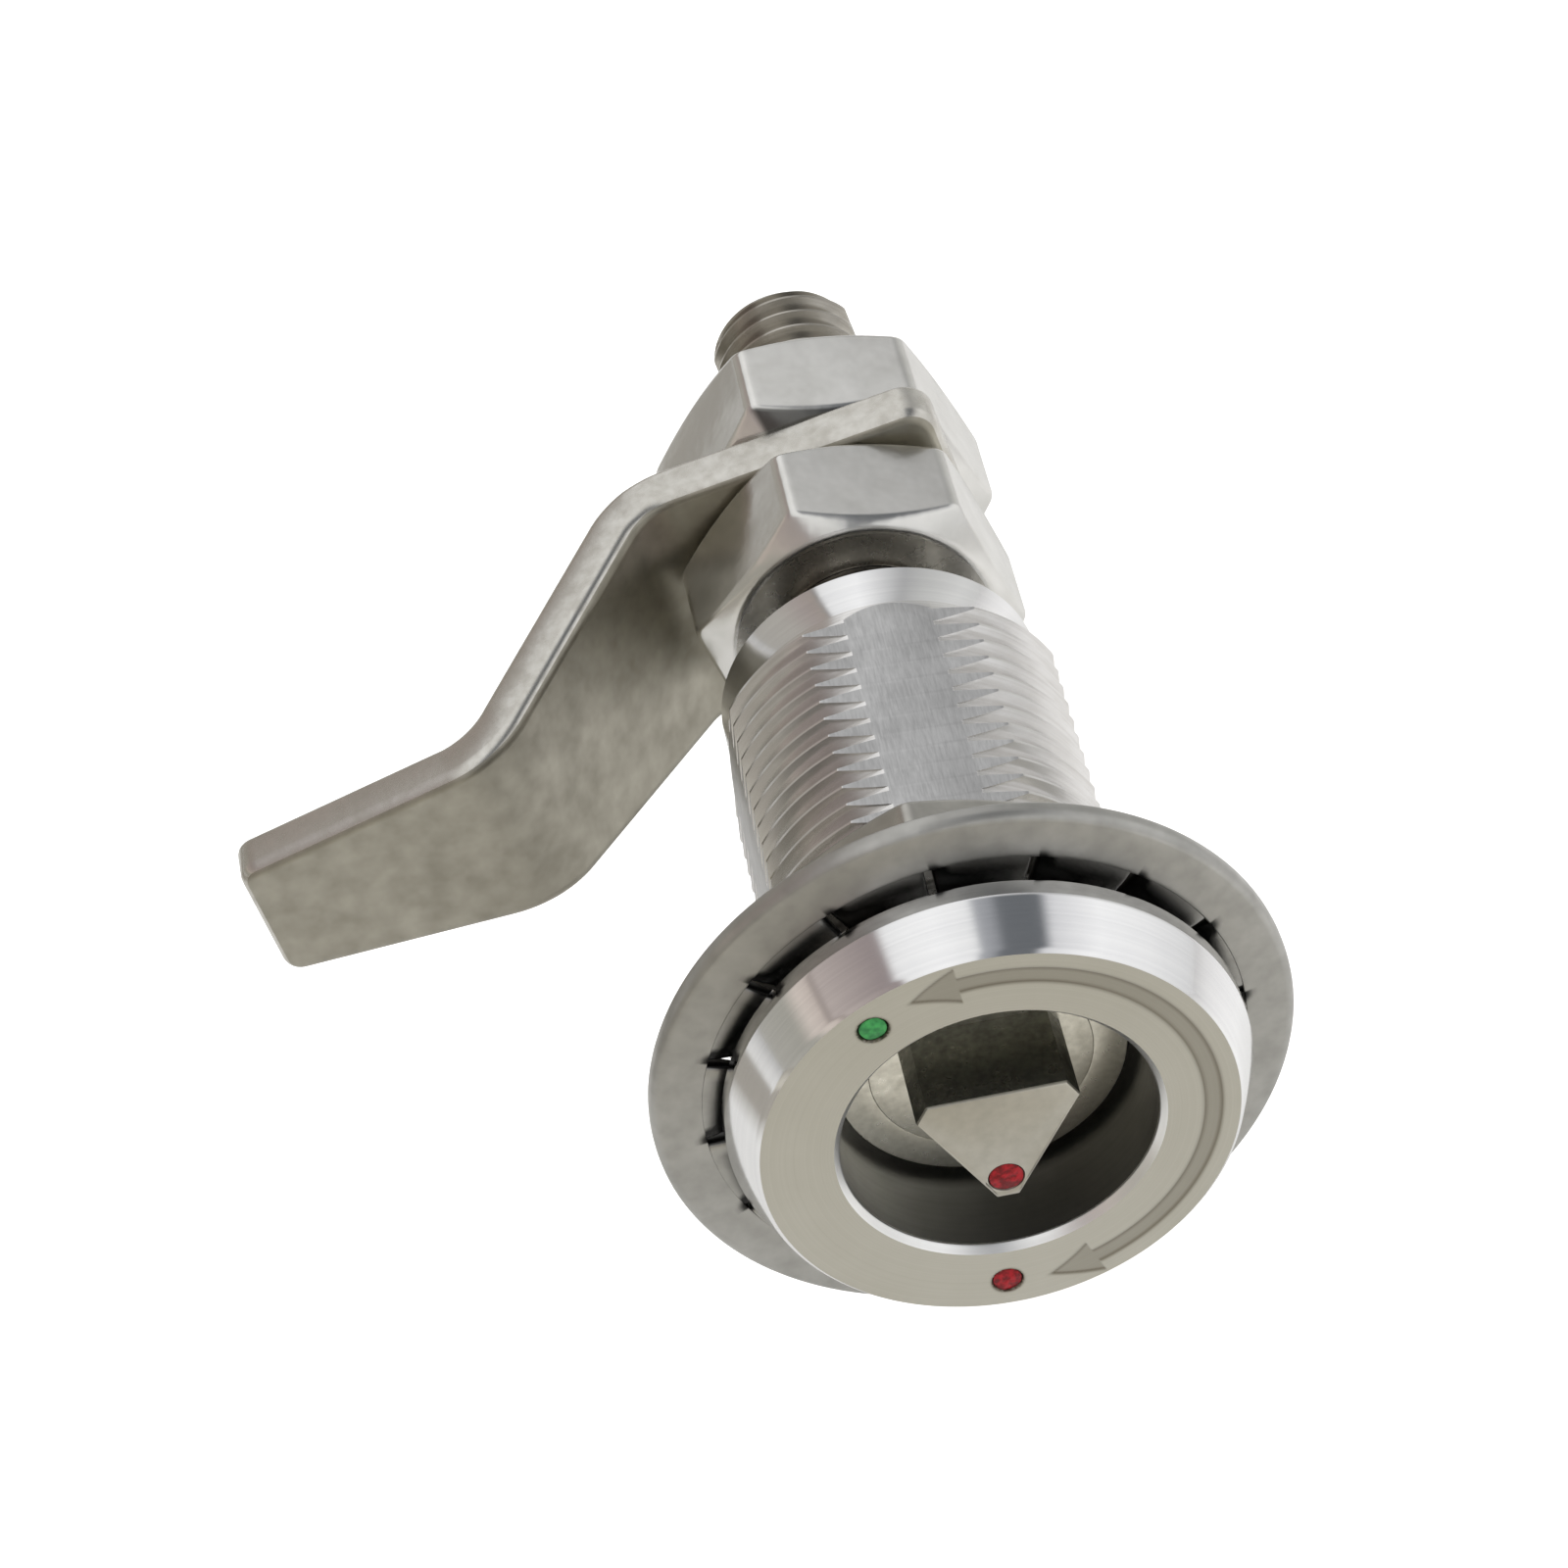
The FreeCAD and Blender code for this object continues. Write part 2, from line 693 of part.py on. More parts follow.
def tooth_washer():
    """Dished washer with twisted inner teeth, lying loose and a little tilted."""
    low = -washer_t / 2
    high = washer_t / 2
    shape = lathe([
        (washer_ring_r, low - washer_dish),
        (washer_r - washer_break, low),
        (washer_r, low + washer_break),
        (washer_r, high - washer_break),
        (washer_r - washer_break, high),
        (washer_ring_r, high - washer_dish),
    ])
    step = 360 / tooth_count
    plan = []
    for radius in (tooth_inner_r, washer_ring_r + tooth_root):
        half = radius * math.tan(math.radians(step / 2)) - tooth_slit / 2
        plan += [V(side * half, -tooth_t / 2, radius) for side in (-1, 1)]
    plan = [plan[0], plan[1], plan[3], plan[2]]
    for index in range(tooth_count):
        tooth = prism(plan, tooth_t)
        tooth.rotate(ORIGIN, V(0, 0, 1), tooth_twist)
        tooth.translate(V(0, -washer_dish, 0))
        shape = shape.fuse(spun(tooth, tooth_phase + (index + 0.5) * step))
    shape = shape.removeSplitter()
    shape.rotate(ORIGIN, V(0, 0, 1), washer_tilt)
    shape.translate(V(-washer_shift, washer_y, 0))
    return shape


def main():
    """Build every piece and write it to its own file."""
    pieces = {
        "housing": housing(),
        "face_red_mark": mark(mark_r, mark_ring, red_angle),
        "face_green_mark": mark(mark_r, mark_ring, green_angle),
        "tooth_washer": tooth_washer(),
        "panel_nut": panel_nut(),
        "driver": driver(),
        "driver_red_mark": mark(driver_mark_r, driver_mark_ring, apex_angle),
        "driver_face_ring": face_ring(),
        "thrust_washer": thrust_washer(),
        "driver_seal": driver_seal(),
        "driver_clip": driver_clip(),
        "compression_spring": compression_spring(),
        "spring_seat": spring_seat(),
        "spindle": spindle(),
        "cross_pin": cross_pin(),
        "stop_ring": stop_ring(),
        "rear_bush": rear_bush(),
        "rear_clip": rear_clip(),
        "front_cam_nut": cam_nut(cam_y - nut_t, front_nut_angle),
        "cam": cam(),
        "rear_cam_nut": cam_nut(cam_y + cam_t, rear_nut_angle),
    }
    os.makedirs("parts", exist_ok=True)
    for name, shape in pieces.items():
        facts = (name, len(shape.Solids), shape.isValid(), shape.Volume)
        print("%-20s solids %d valid %s volume %.1f" % facts)
        shape.exportStep("parts/%s.step" % name)
    print("housing end %.2f cam front %.2f stud end %.2f" % (body_end_y, cam_y, stud_end_y))


main()
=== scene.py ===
"""Looks of a stainless compression latch with a triangular drive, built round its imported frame.

The lock axis is Y and points from the face to the back of the door, as in the frame.
Angles run from +Z towards -X, which is anticlockwise for someone who stands at the face.
Sizes in the classes are in millimetres, and meshes are made in metres.
"""

import logging
import math
from dataclasses import dataclass
from enum import Enum
from typing import Iterable, Sequence

import bmesh
import bpy
import numpy as np
from mathutils import Matrix, Vector


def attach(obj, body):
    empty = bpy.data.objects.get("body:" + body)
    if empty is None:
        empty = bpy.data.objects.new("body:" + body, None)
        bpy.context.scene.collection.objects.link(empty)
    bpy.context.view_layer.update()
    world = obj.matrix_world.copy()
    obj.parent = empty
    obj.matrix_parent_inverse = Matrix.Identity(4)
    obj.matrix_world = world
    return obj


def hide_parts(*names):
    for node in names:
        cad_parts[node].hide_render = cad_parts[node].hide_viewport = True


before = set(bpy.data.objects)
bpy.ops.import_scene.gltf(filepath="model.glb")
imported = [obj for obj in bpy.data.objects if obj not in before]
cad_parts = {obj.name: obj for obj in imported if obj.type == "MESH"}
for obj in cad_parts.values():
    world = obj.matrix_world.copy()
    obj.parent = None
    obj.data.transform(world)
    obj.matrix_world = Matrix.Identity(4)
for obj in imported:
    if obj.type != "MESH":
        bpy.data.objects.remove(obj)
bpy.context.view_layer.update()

LOG = logging.getLogger("latch")
MM = 0.001
WHOLE_TURN = 360.0
SAME_POINT = 2e-7      # metres; grid points this near are one
NO_AREA = 1e-14        # square metres; smaller faces are dropped
RECESS_R = 9.0         # key recess, in the flange and in the threaded body
FLAT = 9.75            # distance of the body's flats from the axis
JOINT_Y = 0.5          # where the flange's mesh meets the threaded body's
CAM_ANGLE = 104.5      # where the cam points and the spindle's flats face

Section = np.ndarray   # rows, columns, 2: radius and place along the axis
Grid = np.ndarray      # rows, columns, 3


def linear(code: str) -> tuple[float, float, float, float]:
    """Turn an sRGB hex colour into a linear one.

    Args:
        code: the colour as # and six hex digits.

    Returns:
        Linear red, green, blue and alpha.
    """
    values = [int(code[i:i + 2], 16) / 255 for i in (1, 3, 5)]
    straight = [v / 12.92 if v <= 0.04045 else ((v + 0.055) / 1.055) ** 2.4 for v in values]
    return (straight[0], straight[1], straight[2], 1.0)


def ease(value: np.ndarray, start: float | np.ndarray, end: float | np.ndarray) -> np.ndarray:
    """Ease from 0 at the start to 1 at the end: t t (3 - 2 t) of the share t of the way."""
    share = np.clip((value - start) / (end - start), 0.0, 1.0)
    return share * share * (3 - 2 * share)


def round_angles(count: int) -> np.ndarray:
    """Return evenly spaced angles of a whole turn, without the last."""
    return np.linspace(0, WHOLE_TURN, count, endpoint=False)


def laid(out: np.ndarray, place: np.ndarray, side: np.ndarray | float,
         angle: np.ndarray | float) -> Grid:
    """Put points that are given from the lock axis at an angle into the frame.

    At angle a a point goes to (side cos a - out sin a, place, side sin a + out cos a).

    Args:
        out: distance from the axis at that angle.
        place: place along the axis.
        side: distance to the side of that direction.
        angle: in degrees.

    Returns:
        The grid of points.
    """
    turn = np.radians(angle)
    x = side * np.cos(turn) - out * np.sin(turn)
    z = side * np.sin(turn) + out * np.cos(turn)
    return np.stack([x, place, z], axis=-1)


def turned(section: Section, angles: np.ndarray) -> Grid:
    """Carry a section round the lock axis, with one column at each angle."""
    return laid(section[..., 0], section[..., 1], 0.0, angles[None, :])


def circle(turn: np.ndarray) -> np.ndarray:
    """Return the points of the unit circle at angles in radians."""
    return np.stack([np.cos(turn), np.sin(turn)], axis=-1)


def outward(angle: float) -> Vector:
    """Return the direction away from the lock axis at an angle in degrees."""
    turn = math.radians(angle)
    return Vector((-math.sin(turn), 0, math.cos(turn)))


def spread(points: Sequence[tuple[float, float]], columns: int) -> Section:
    """Repeat one section at every column.

    Args:
        points: radius and y of each corner.
        columns: how many columns the grid has.

    Returns:
        The section, the same at each column.
    """
    return np.repeat(np.array(points, float)[:, None, :], columns, axis=1)


@dataclass
class Profile:
    """A section with the finish of the band that follows each of its rows."""

    rows: Section
    bands: list[int]

    @classmethod
    def rounded(cls, corners: Section, radii: Sequence[float], bands: Sequence[int] | int = 0,
                steps: int = 3) -> "Profile":
        """Round the corners of a closed section.

        A corner P with legs to A and B becomes the parabola (1-t)^2 A' + 2t(1-t) P + t^2 B',
        where A' and B' lie one radius back along the legs, or 0.45 of a shorter leg.

        Args:
            corners: rows, columns, 2.
            radii: how far each corner is cut back; 0 keeps it.
            bands: finish of the leg that follows each corner, or of all.
            steps: faces across each rounding.

        Returns:
            The rounded profile, with one finish for each band of faces.
        """
        rows: list[np.ndarray] = []
        finishes: list[int] = []
        bands = np.broadcast_to(bands, len(corners))
        before, after = np.roll(corners, 1, axis=0), np.roll(corners, -1, axis=0)
        for index, corner in enumerate(corners):
            ends = []
            for leg in (before[index] - corner, after[index] - corner):
                length = np.linalg.norm(leg, axis=-1, keepdims=True)
                cut = np.minimum(radii[index], 0.45 * length)
                ends.append(corner + leg / np.maximum(length, 1e-9) * cut)
            for t in np.linspace(0, 1, steps + 1) if radii[index] > 0 else (0.0,):
                rows.append((1 - t) ** 2 * ends[0] + 2 * t * (1 - t) * corner + t * t * ends[1])
                finishes.append(bands[index])
        return cls(np.stack(rows), finishes)


@dataclass
class Patch:
    """A grid of points in millimetres, its finishes, its stains and painted shade, and how its edges
    join.
    """

    points: Grid
    bands: Sequence[int] | int = 0
    join_rows: bool = False
    join_columns: bool = True
    stain_and_shade: np.ndarray | float = 0.0

    def faces(self, first: int) -> tuple[np.ndarray, np.ndarray]:
        """Number the corners of each four-sided face.

        Args:
            first: number of the patch's first point in the whole mesh.

        Returns:
            The corner numbers, and the finish of each face.
        """
        rows, columns = self.points.shape[:2]
        down = np.arange(rows if self.join_rows else rows - 1)
        across = np.arange(columns if self.join_columns else columns - 1)
        i, j = np.meshgrid(down, across, indexing="ij")
        below, beside = (i + 1) % rows, (j + 1) % columns
        corners = np.stack([i * columns + j, i * columns + beside,
                            below * columns + beside, below * columns + j], axis=-1)
        finish = np.broadcast_to(self.bands, rows)[i]
        return corners.reshape(-1, 4) + first, finish.reshape(-1)


def clean(mesh: bpy.types.Mesh) -> None:
    """Join points that coincide, drop faces with no area and turn every face outwards.

    Args:
        mesh: the mesh, in metres.
    """
    work = bmesh.new()
    work.from_mesh(mesh)
    bmesh.ops.remove_doubles(work, verts=work.verts, dist=SAME_POINT)
    flat = [face for face in work.faces if face.calc_area() < NO_AREA]
    bmesh.ops.delete(work, geom=flat, context="FACES_ONLY")
    loose = [vert for vert in work.verts if not vert.link_faces]
    bmesh.ops.delete(work, geom=loose, context="VERTS")
    bmesh.ops.recalc_face_normals(work, faces=work.faces)
    work.to_mesh(mesh)
    work.free()


def build_mesh(name: str, patches: Iterable[Patch]) -> bpy.types.Mesh:
    """Make one clean mesh from several grids.

    Args:
        name: name of the mesh.
        patches: the grids, which meet where their edge points coincide.

    Returns:
        The mesh, in metres, with its faces turned outwards.
    """
    points, faces, finishes, stains_and_shades, first = [], [], [], [], 0
    for patch in patches:
        corners, finish = patch.faces(first)
        points.append(patch.points.reshape(-1, 3))
        faces.append(corners)
        finishes.append(finish)
        stains_and_shades.append(np.broadcast_to(patch.stain_and_shade, patch.points.shape[:2]).reshape(-1))
        first += len(points[-1])
    place = np.concatenate(points) * MM
    corner = np.concatenate(faces)
    mesh = bpy.data.meshes.new(name)
    mesh.vertices.add(len(place))
    mesh.vertices.foreach_set("co", place.astype(np.float32).ravel())
    mesh.loops.add(corner.size)
    mesh.loops.foreach_set("vertex_index", corner.astype(np.int32).ravel())
    mesh.polygons.add(len(corner))
    mesh.polygons.foreach_set("loop_start", np.arange(0, corner.size, 4, dtype=np.int32))
    mesh.polygons.foreach_set("material_index", np.concatenate(finishes).astype(np.int32))
    layer = mesh.attributes.new("stain_and_shade", "FLOAT", "POINT")
    layer.data.foreach_set("value", np.concatenate(stains_and_shades).astype(np.float32))
    mesh.update(calc_edges=True)
    clean(mesh)
    return mesh


def cut_flats(mesh: bpy.types.Mesh, distance: float, normals: Iterable[float], finish: int) -> None:
    """Mill flats along the lock axis into a closed mesh.

    Args:
        mesh: the mesh, in metres.
        distance: distance of each flat from the axis.
        normals: angle of each flat's normal in degrees.
        finish: number of the finish of the new faces.
    """
    work = bmesh.new()
    work.from_mesh(mesh)
    for normal in normals:
        aim = outward(normal)
        everything = work.verts[:] + work.edges[:] + work.faces[:]
        cut = bmesh.ops.bisect_plane(work, geom=everything, dist=1e-9, plane_co=aim * distance * MM,
                                     plane_no=aim, clear_outer=True)
        rim = [item for item in cut["geom_cut"]
               if isinstance(item, bmesh.types.BMEdge) and len(item.link_faces) == 1]
        filled = bmesh.ops.triangle_fill(work, edges=rim, use_beauty=True, normal=aim)
        for item in filled["geom"]:
            if isinstance(item, bmesh.types.BMFace):
                item.material_index = finish
    work.to_mesh(mesh)
    work.free()


def add_object(name: str, data: bpy.types.ID) -> bpy.types.Object:
    """Make an object of a mesh, lamp or camera and put it in the scene."""
    item = bpy.data.objects.new(name, data)
    bpy.context.scene.collection.objects.link(item)
    return item


def add_node(tree: bpy.types.NodeTree, kind: str, values: dict | None = None,
             **settings: object) -> bpy.types.Node:
    """Add a node with its settings and links.

    Args:
        tree: the node tree.
        kind: the node's type name, without the ShaderNode in front.
        values: input name or number to a plain value or to another node's output socket.
        settings: the node's own properties.

    Returns:
        The node.
    """
    node = tree.nodes.new("ShaderNode" + kind)
    for key, value in settings.items():
        setattr(node, key, value)
    for key, value in (values or {}).items():
        if isinstance(value, bpy.types.NodeSocket):
            tree.links.new(value, node.inputs[key])
        else:
            node.inputs[key].default_value = value
    return node


class Grain(Enum):
    """How a metal surface was made, which decides how its marks run."""

    TURNED = "turned"
    BRUSHED = "brushed"
    TUMBLED = "tumbled"


@dataclass(frozen=True)
class Finish:
    """A finish of the latch, between two colours. Each kind fills in its own nodes."""

    name: str
    bright: str
    dull: str
    roughness: float

    def material(self) -> bpy.types.Material:
        """Make the material, or find the one that was made before.

        Returns:
            The material.
        """
        found = bpy.data.materials.get(self.name)
        if found is not None:
            return found
        made = bpy.data.materials.new(self.name)
        made.use_nodes = True
        tree = made.node_tree
        tree.nodes.clear()
        shader = add_node(tree, "BsdfPrincipled")
        add_node(tree, "OutputMaterial", {"Surface": shader.outputs["BSDF"]})
        self.fill(tree, shader)
        return made

    def fill(self, tree: bpy.types.NodeTree, shader: bpy.types.Node) -> None:
        """Set the shader's values and patterns.

        Args:
            tree: the material's node tree.
            shader: its surface shader.
        """
        raise NotImplementedError


@dataclass(frozen=True)
class Steel(Finish):
    """Stainless steel. The grain gives fine marks, and the blotches a worn, handled look."""

    spread: float          # how far the roughness varies
    grain: Grain
    grain_mm: float        # spacing of the marks
    grain_height: float    # depth of the marks
    blotch_mm: float
    stain_and_shade: str = ""        # colour of the stains and painted shade that the piece carries, if it has any

    def grain_place(self, tree: bpy.types.NodeTree,
                    place: bpy.types.NodeSocket) -> bpy.types.NodeSocket:
        """Return coordinates in which the marks are one unit apart.

        Turned marks depend on the distance from the axis and the place along it alone.
        Brushed marks are 10 times longer along the axis than they are wide.

        Args:
            tree: the material's node tree.
            place: the piece's coordinates in metres.

        Returns:
            The coordinates.
        """
        per_mark = 1 / (self.grain_mm * MM)
        along = 0.1 * per_mark if self.grain is Grain.BRUSHED else per_mark
        scaled = add_node(tree, "Mapping", {"Vector": place, "Scale": (per_mark, along, per_mark)})
        if self.grain is not Grain.TURNED:
            return scaled.outputs[0]
        parts = add_node(tree, "SeparateXYZ", {0: scaled.outputs[0]})
        flat = add_node(tree, "CombineXYZ", {0: parts.outputs[0], 2: parts.outputs[2]})
        radius = add_node(tree, "VectorMath", {0: flat.outputs[0]}, operation="LENGTH")
        return add_node(tree, "CombineXYZ",
                        {0: radius.outputs["Value"], 1: parts.outputs[1]}).outputs[0]

    def fill(self, tree: bpy.types.NodeTree, shader: bpy.types.Node) -> None:
        """Set the metal's colour, gloss and marks.

        Args:
            tree: the material's node tree.
            shader: its surface shader.
        """
        place = add_node(tree, "TexCoord").outputs["Object"]
        marks = add_node(tree, "TexNoise", {"Vector": self.grain_place(tree, place), "Scale": 1.0,
                                            "Detail": 2.0}).outputs["Fac"]
        blotch = add_node(tree, "TexNoise", {"Vector": place, "Scale": 1 / (self.blotch_mm * MM),
                                             "Detail": 4.0, "Roughness": 0.6}).outputs["Fac"]
        both = add_node(tree, "Math", {0: marks, 1: blotch}, operation="ADD").outputs[0]
        share = add_node(tree, "MapRange", {"Value": both, "From Min": 0.7, "From Max": 1.3}).outputs[0]
        colour = add_node(tree, "Mix", {"Factor": share, 6: linear(self.dull), 7: linear(self.bright)},
                          data_type="RGBA").outputs[2]
        # stains and painted shade, read from the mesh's attribute
        if self.stain_and_shade:
            mark = add_node(tree, "Attribute", attribute_name="stain_and_shade").outputs["Fac"]
            colour = add_node(tree, "Mix", {"Factor": mark, 6: colour, 7: linear(self.stain_and_shade)},
                              data_type="RGBA").outputs[2]
        rough = add_node(tree, "MapRange", {"Value": share, "To Min": self.roughness + self.spread,
                                            "To Max": self.roughness - self.spread})
        bump = add_node(tree, "Bump", {"Height": marks, "Strength": 1.0,
                                       "Distance": self.grain_height * MM})
        tree.links.new(colour, shader.inputs["Base Color"])
        tree.links.new(rough.outputs[0], shader.inputs["Roughness"])
        tree.links.new(bump.outputs[0], shader.inputs["Normal"])
        shader.inputs["Metallic"].default_value = 1.0


@dataclass(frozen=True)
class Coating(Finish):
    """Paint, rubber or plastic: a coloured body under a plain gloss, with a soft unevenness."""

    lump_mm: float
    lump_height: float

    def fill(self, tree: bpy.types.NodeTree, shader: bpy.types.Node) -> None:
        """Set the colour, gloss and unevenness.

        Args:
            tree: the material's node tree.
            shader: its surface shader.
        """
        place = add_node(tree, "TexCoord").outputs["Object"]
        lumps = add_node(tree, "TexNoise", {"Vector": place, "Scale": 1 / (self.lump_mm * MM),
                                            "Detail": 3.0}).outputs["Fac"]
        share = add_node(tree, "MapRange", {"Value": lumps, "From Min": 0.38, "From Max": 0.62})
        colour = add_node(tree, "Mix", {"Factor": share.outputs[0], 6: linear(self.dull),
                                        7: linear(self.bright)}, data_type="RGBA")
        bump = add_node(tree, "Bump", {"Height": lumps, "Strength": 1.0,
                                       "Distance": self.lump_height * MM})
        tree.links.new(colour.outputs[2], shader.inputs["Base Color"])
        tree.links.new(bump.outputs[0], shader.inputs["Normal"])
        shader.inputs["Roughness"].default_value = self.roughness
        shader.inputs["Specular IOR Level"].default_value = 0.25


# Each steel: name, bright and dull colour, roughness and its spread, then the grain with its
# spacing and depth, the size of the blotches, and the colour of its stains and painted shade.

# Fine-turned face, matt and warm
FACE_STEEL = Steel("turned_face_steel", "#C6C4BB", "#C0BEB4", 0.42, 0.02,
                   Grain.TURNED, 0.12, 0.0003, 6.0, "#6F685B")
# Polished bevel and collar, which mirror the room in clear bands
POLISHED = Steel("polished_turned_steel", "#E9E9E9", "#E0E0E1", 0.11, 0.02,
                 Grain.TURNED, 0.2, 0.00015, 5.0)
# Broken edge of the recess, satin and pale
EASED = Steel("eased_edge_steel", "#F0F0EF", "#E4E4E2", 0.34, 0.04, Grain.TURNED, 0.2, 0.0003, 4.0)
# Bored walls, satin, with painted shade low in the recess
BORED = Steel("bored_recess_steel", "#ECECE9", "#DCDCD8", 0.42, 0.04,
              Grain.TURNED, 0.3, 0.0003, 3.0, "#4C4C49")
# Milled and worn end of the driver
DRIVER_STEEL = Steel("milled_driver_steel", "#BFBCB2", "#B5B2A8", 0.4, 0.04,
                     Grain.TUMBLED, 0.6, 0.001, 3.0)
# Sides of the driver's triangle: a darker copy of the driver steel, painted shade
DRIVER_SIDE_SHADE = Steel("driver_side_painted_shade", "#74746C", "#5C5C56", 0.3, 0.04,
                   Grain.TUMBLED, 0.5, 0.001, 2.0)
# Scratched pale floor of the recess
WORN_STEEL = Steel("worn_floor_steel", "#F0EDE1", "#D4D1C5", 0.32, 0.06,
                   Grain.TUMBLED, 0.5, 0.002, 1.2)
# Milled flats of the body, with fine marks along the axis
BRUSHED = Steel("milled_flat_steel", "#BFBFBF", "#A7A7A7", 0.36, 0.05,
                Grain.BRUSHED, 0.1, 0.004, 4.0)
# Cut thread, smooth and bright on its flanks
THREAD_STEEL = Steel("cut_thread_steel", "#E0DFDE", "#CDCBC8", 0.2, 0.04,
                     Grain.TURNED, 0.18, 0.0006, 3.0)
# Rolled thread of the stud, greyer than the cut one
STUD_STEEL = Steel("rolled_stud_steel", "#B8B4AC", "#9C9890", 0.22, 0.04,
                   Grain.TURNED, 0.18, 0.0006, 3.0)
# Cold-forged nuts, bright and softly dented, and darker where they carry marks
FORGED = Steel("forged_nut_steel", "#DCDBD8", "#CFCECA", 0.2, 0.03,
               Grain.TUMBLED, 2.2, 0.04, 4.0, "#2E2D2A")
# Thin turned nut, greyer than the forged ones
TURNED_NUT = Steel("turned_nut_steel", "#B4B2AC", "#A19F99", 0.3, 0.04,
                   Grain.TUMBLED, 1.2, 0.01, 4.0)
# Bearing faces of the nuts, satin and a little yellow, dark only by what they mirror
SCALED = Steel("forge_dark_steel", "#E4E1DA", "#C0BDB5", 0.28, 0.05, Grain.TUMBLED, 0.9, 0.01, 2.5)
# Pressed cam strip, a little yellow, with slow waves from the press
CAM_STEEL = Steel("pressed_cam_steel", "#A8A498", "#928E82", 0.36, 0.05,
                  Grain.TUMBLED, 1.6, 0.012, 5.0)
# Sheared edge of the cam, worn bright
SHEARED_STEEL = Steel("sheared_edge_steel", "#CFCDC7", "#B9B6AE", 0.26, 0.05,
                      Grain.TUMBLED, 0.8, 0.006, 3.0)
# Pressed washer, flatter than the turned pieces, with painted black shade on its teeth and slits
WASHER_STEEL = Steel("pressed_washer_steel", "#B0AFAB", "#9F9E9A", 0.36, 0.04,
                     Grain.TUMBLED, 1.2, 0.006, 4.0, "#0E0E0E")
# Spring wire, pins and rings inside, grey with an oily gloss
SPRING_STEEL = Steel("oiled_spring_steel", "#8C8C8C", "#6C6C6C", 0.3, 0.05,
                     Grain.TUMBLED, 0.3, 0.004, 2.0)

# Each coating: name, bright and dull colour, roughness, and the lumps' size and height.
# Two enamels that fill the dimples with a wet gloss, then dull black rubber and milky plastic
RED_PAINT = Coating("red_enamel", "#A81B26", "#6A0F15", 0.28, 0.3, 0.03)
GREEN_PAINT = Coating("green_enamel", "#47A35A", "#2F7A45", 0.28, 0.45, 0.02)
RUBBER = Coating("moulded_nitrile", "#1C1C1C", "#121212", 0.6, 0.4, 0.01)
ACETAL = Coating("turned_acetal", "#E6E4DC", "#D6D4CC", 0.45, 0.4, 0.01)


class Piece:
    """A visible piece of the latch, which stands for a node of the frame."""

    name: str
    node: str
    slot: str
    finishes: Sequence[Finish]   # in the order of the mesh's face numbers
    sharp: float = 32.0          # edges that turn more than this many degrees stay crisp
    flat_finish: int = -1        # number of the finish whose faces are planes, or -1

    def shape(self) -> bpy.types.Mesh:
        """Work out the mesh, in metres and in place."""
        raise NotImplementedError

    def build(self, body: str) -> None:
        """Shape the piece, dress it and put it in the scene.

        Args:
            body: name of the body that it rides on.
        """
        mesh = self.shape()
        for finish in self.finishes:
            mesh.materials.append(finish.material())
        worn = np.zeros(len(mesh.polygons), np.int32)
        mesh.polygons.foreach_get("material_index", worn)
        mesh.polygons.foreach_set("use_smooth", worn != self.flat_finish)
        mesh.set_sharp_from_angle(angle=math.radians(self.sharp))
        mesh.update()
        piece = add_object(self.name, mesh)
        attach(piece, body)
        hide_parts(self.node)
        LOG.info("%s: %d faces on %s", self.name, len(mesh.polygons), body)


def recess_painted_shade(angles: np.ndarray) -> np.ndarray:
    """Return the painted shade on the recess wall at each angle: most low down, least on the left.

    It is 0.35 less 0.7 of the angle's cosine and 0.35 of its sine, eased and times 0.85.
    """
    turn = np.radians(angles)
    return 0.85 * ease(0.35 - 0.7 * np.cos(turn) - 0.35 * np.sin(turn), 0, 1)


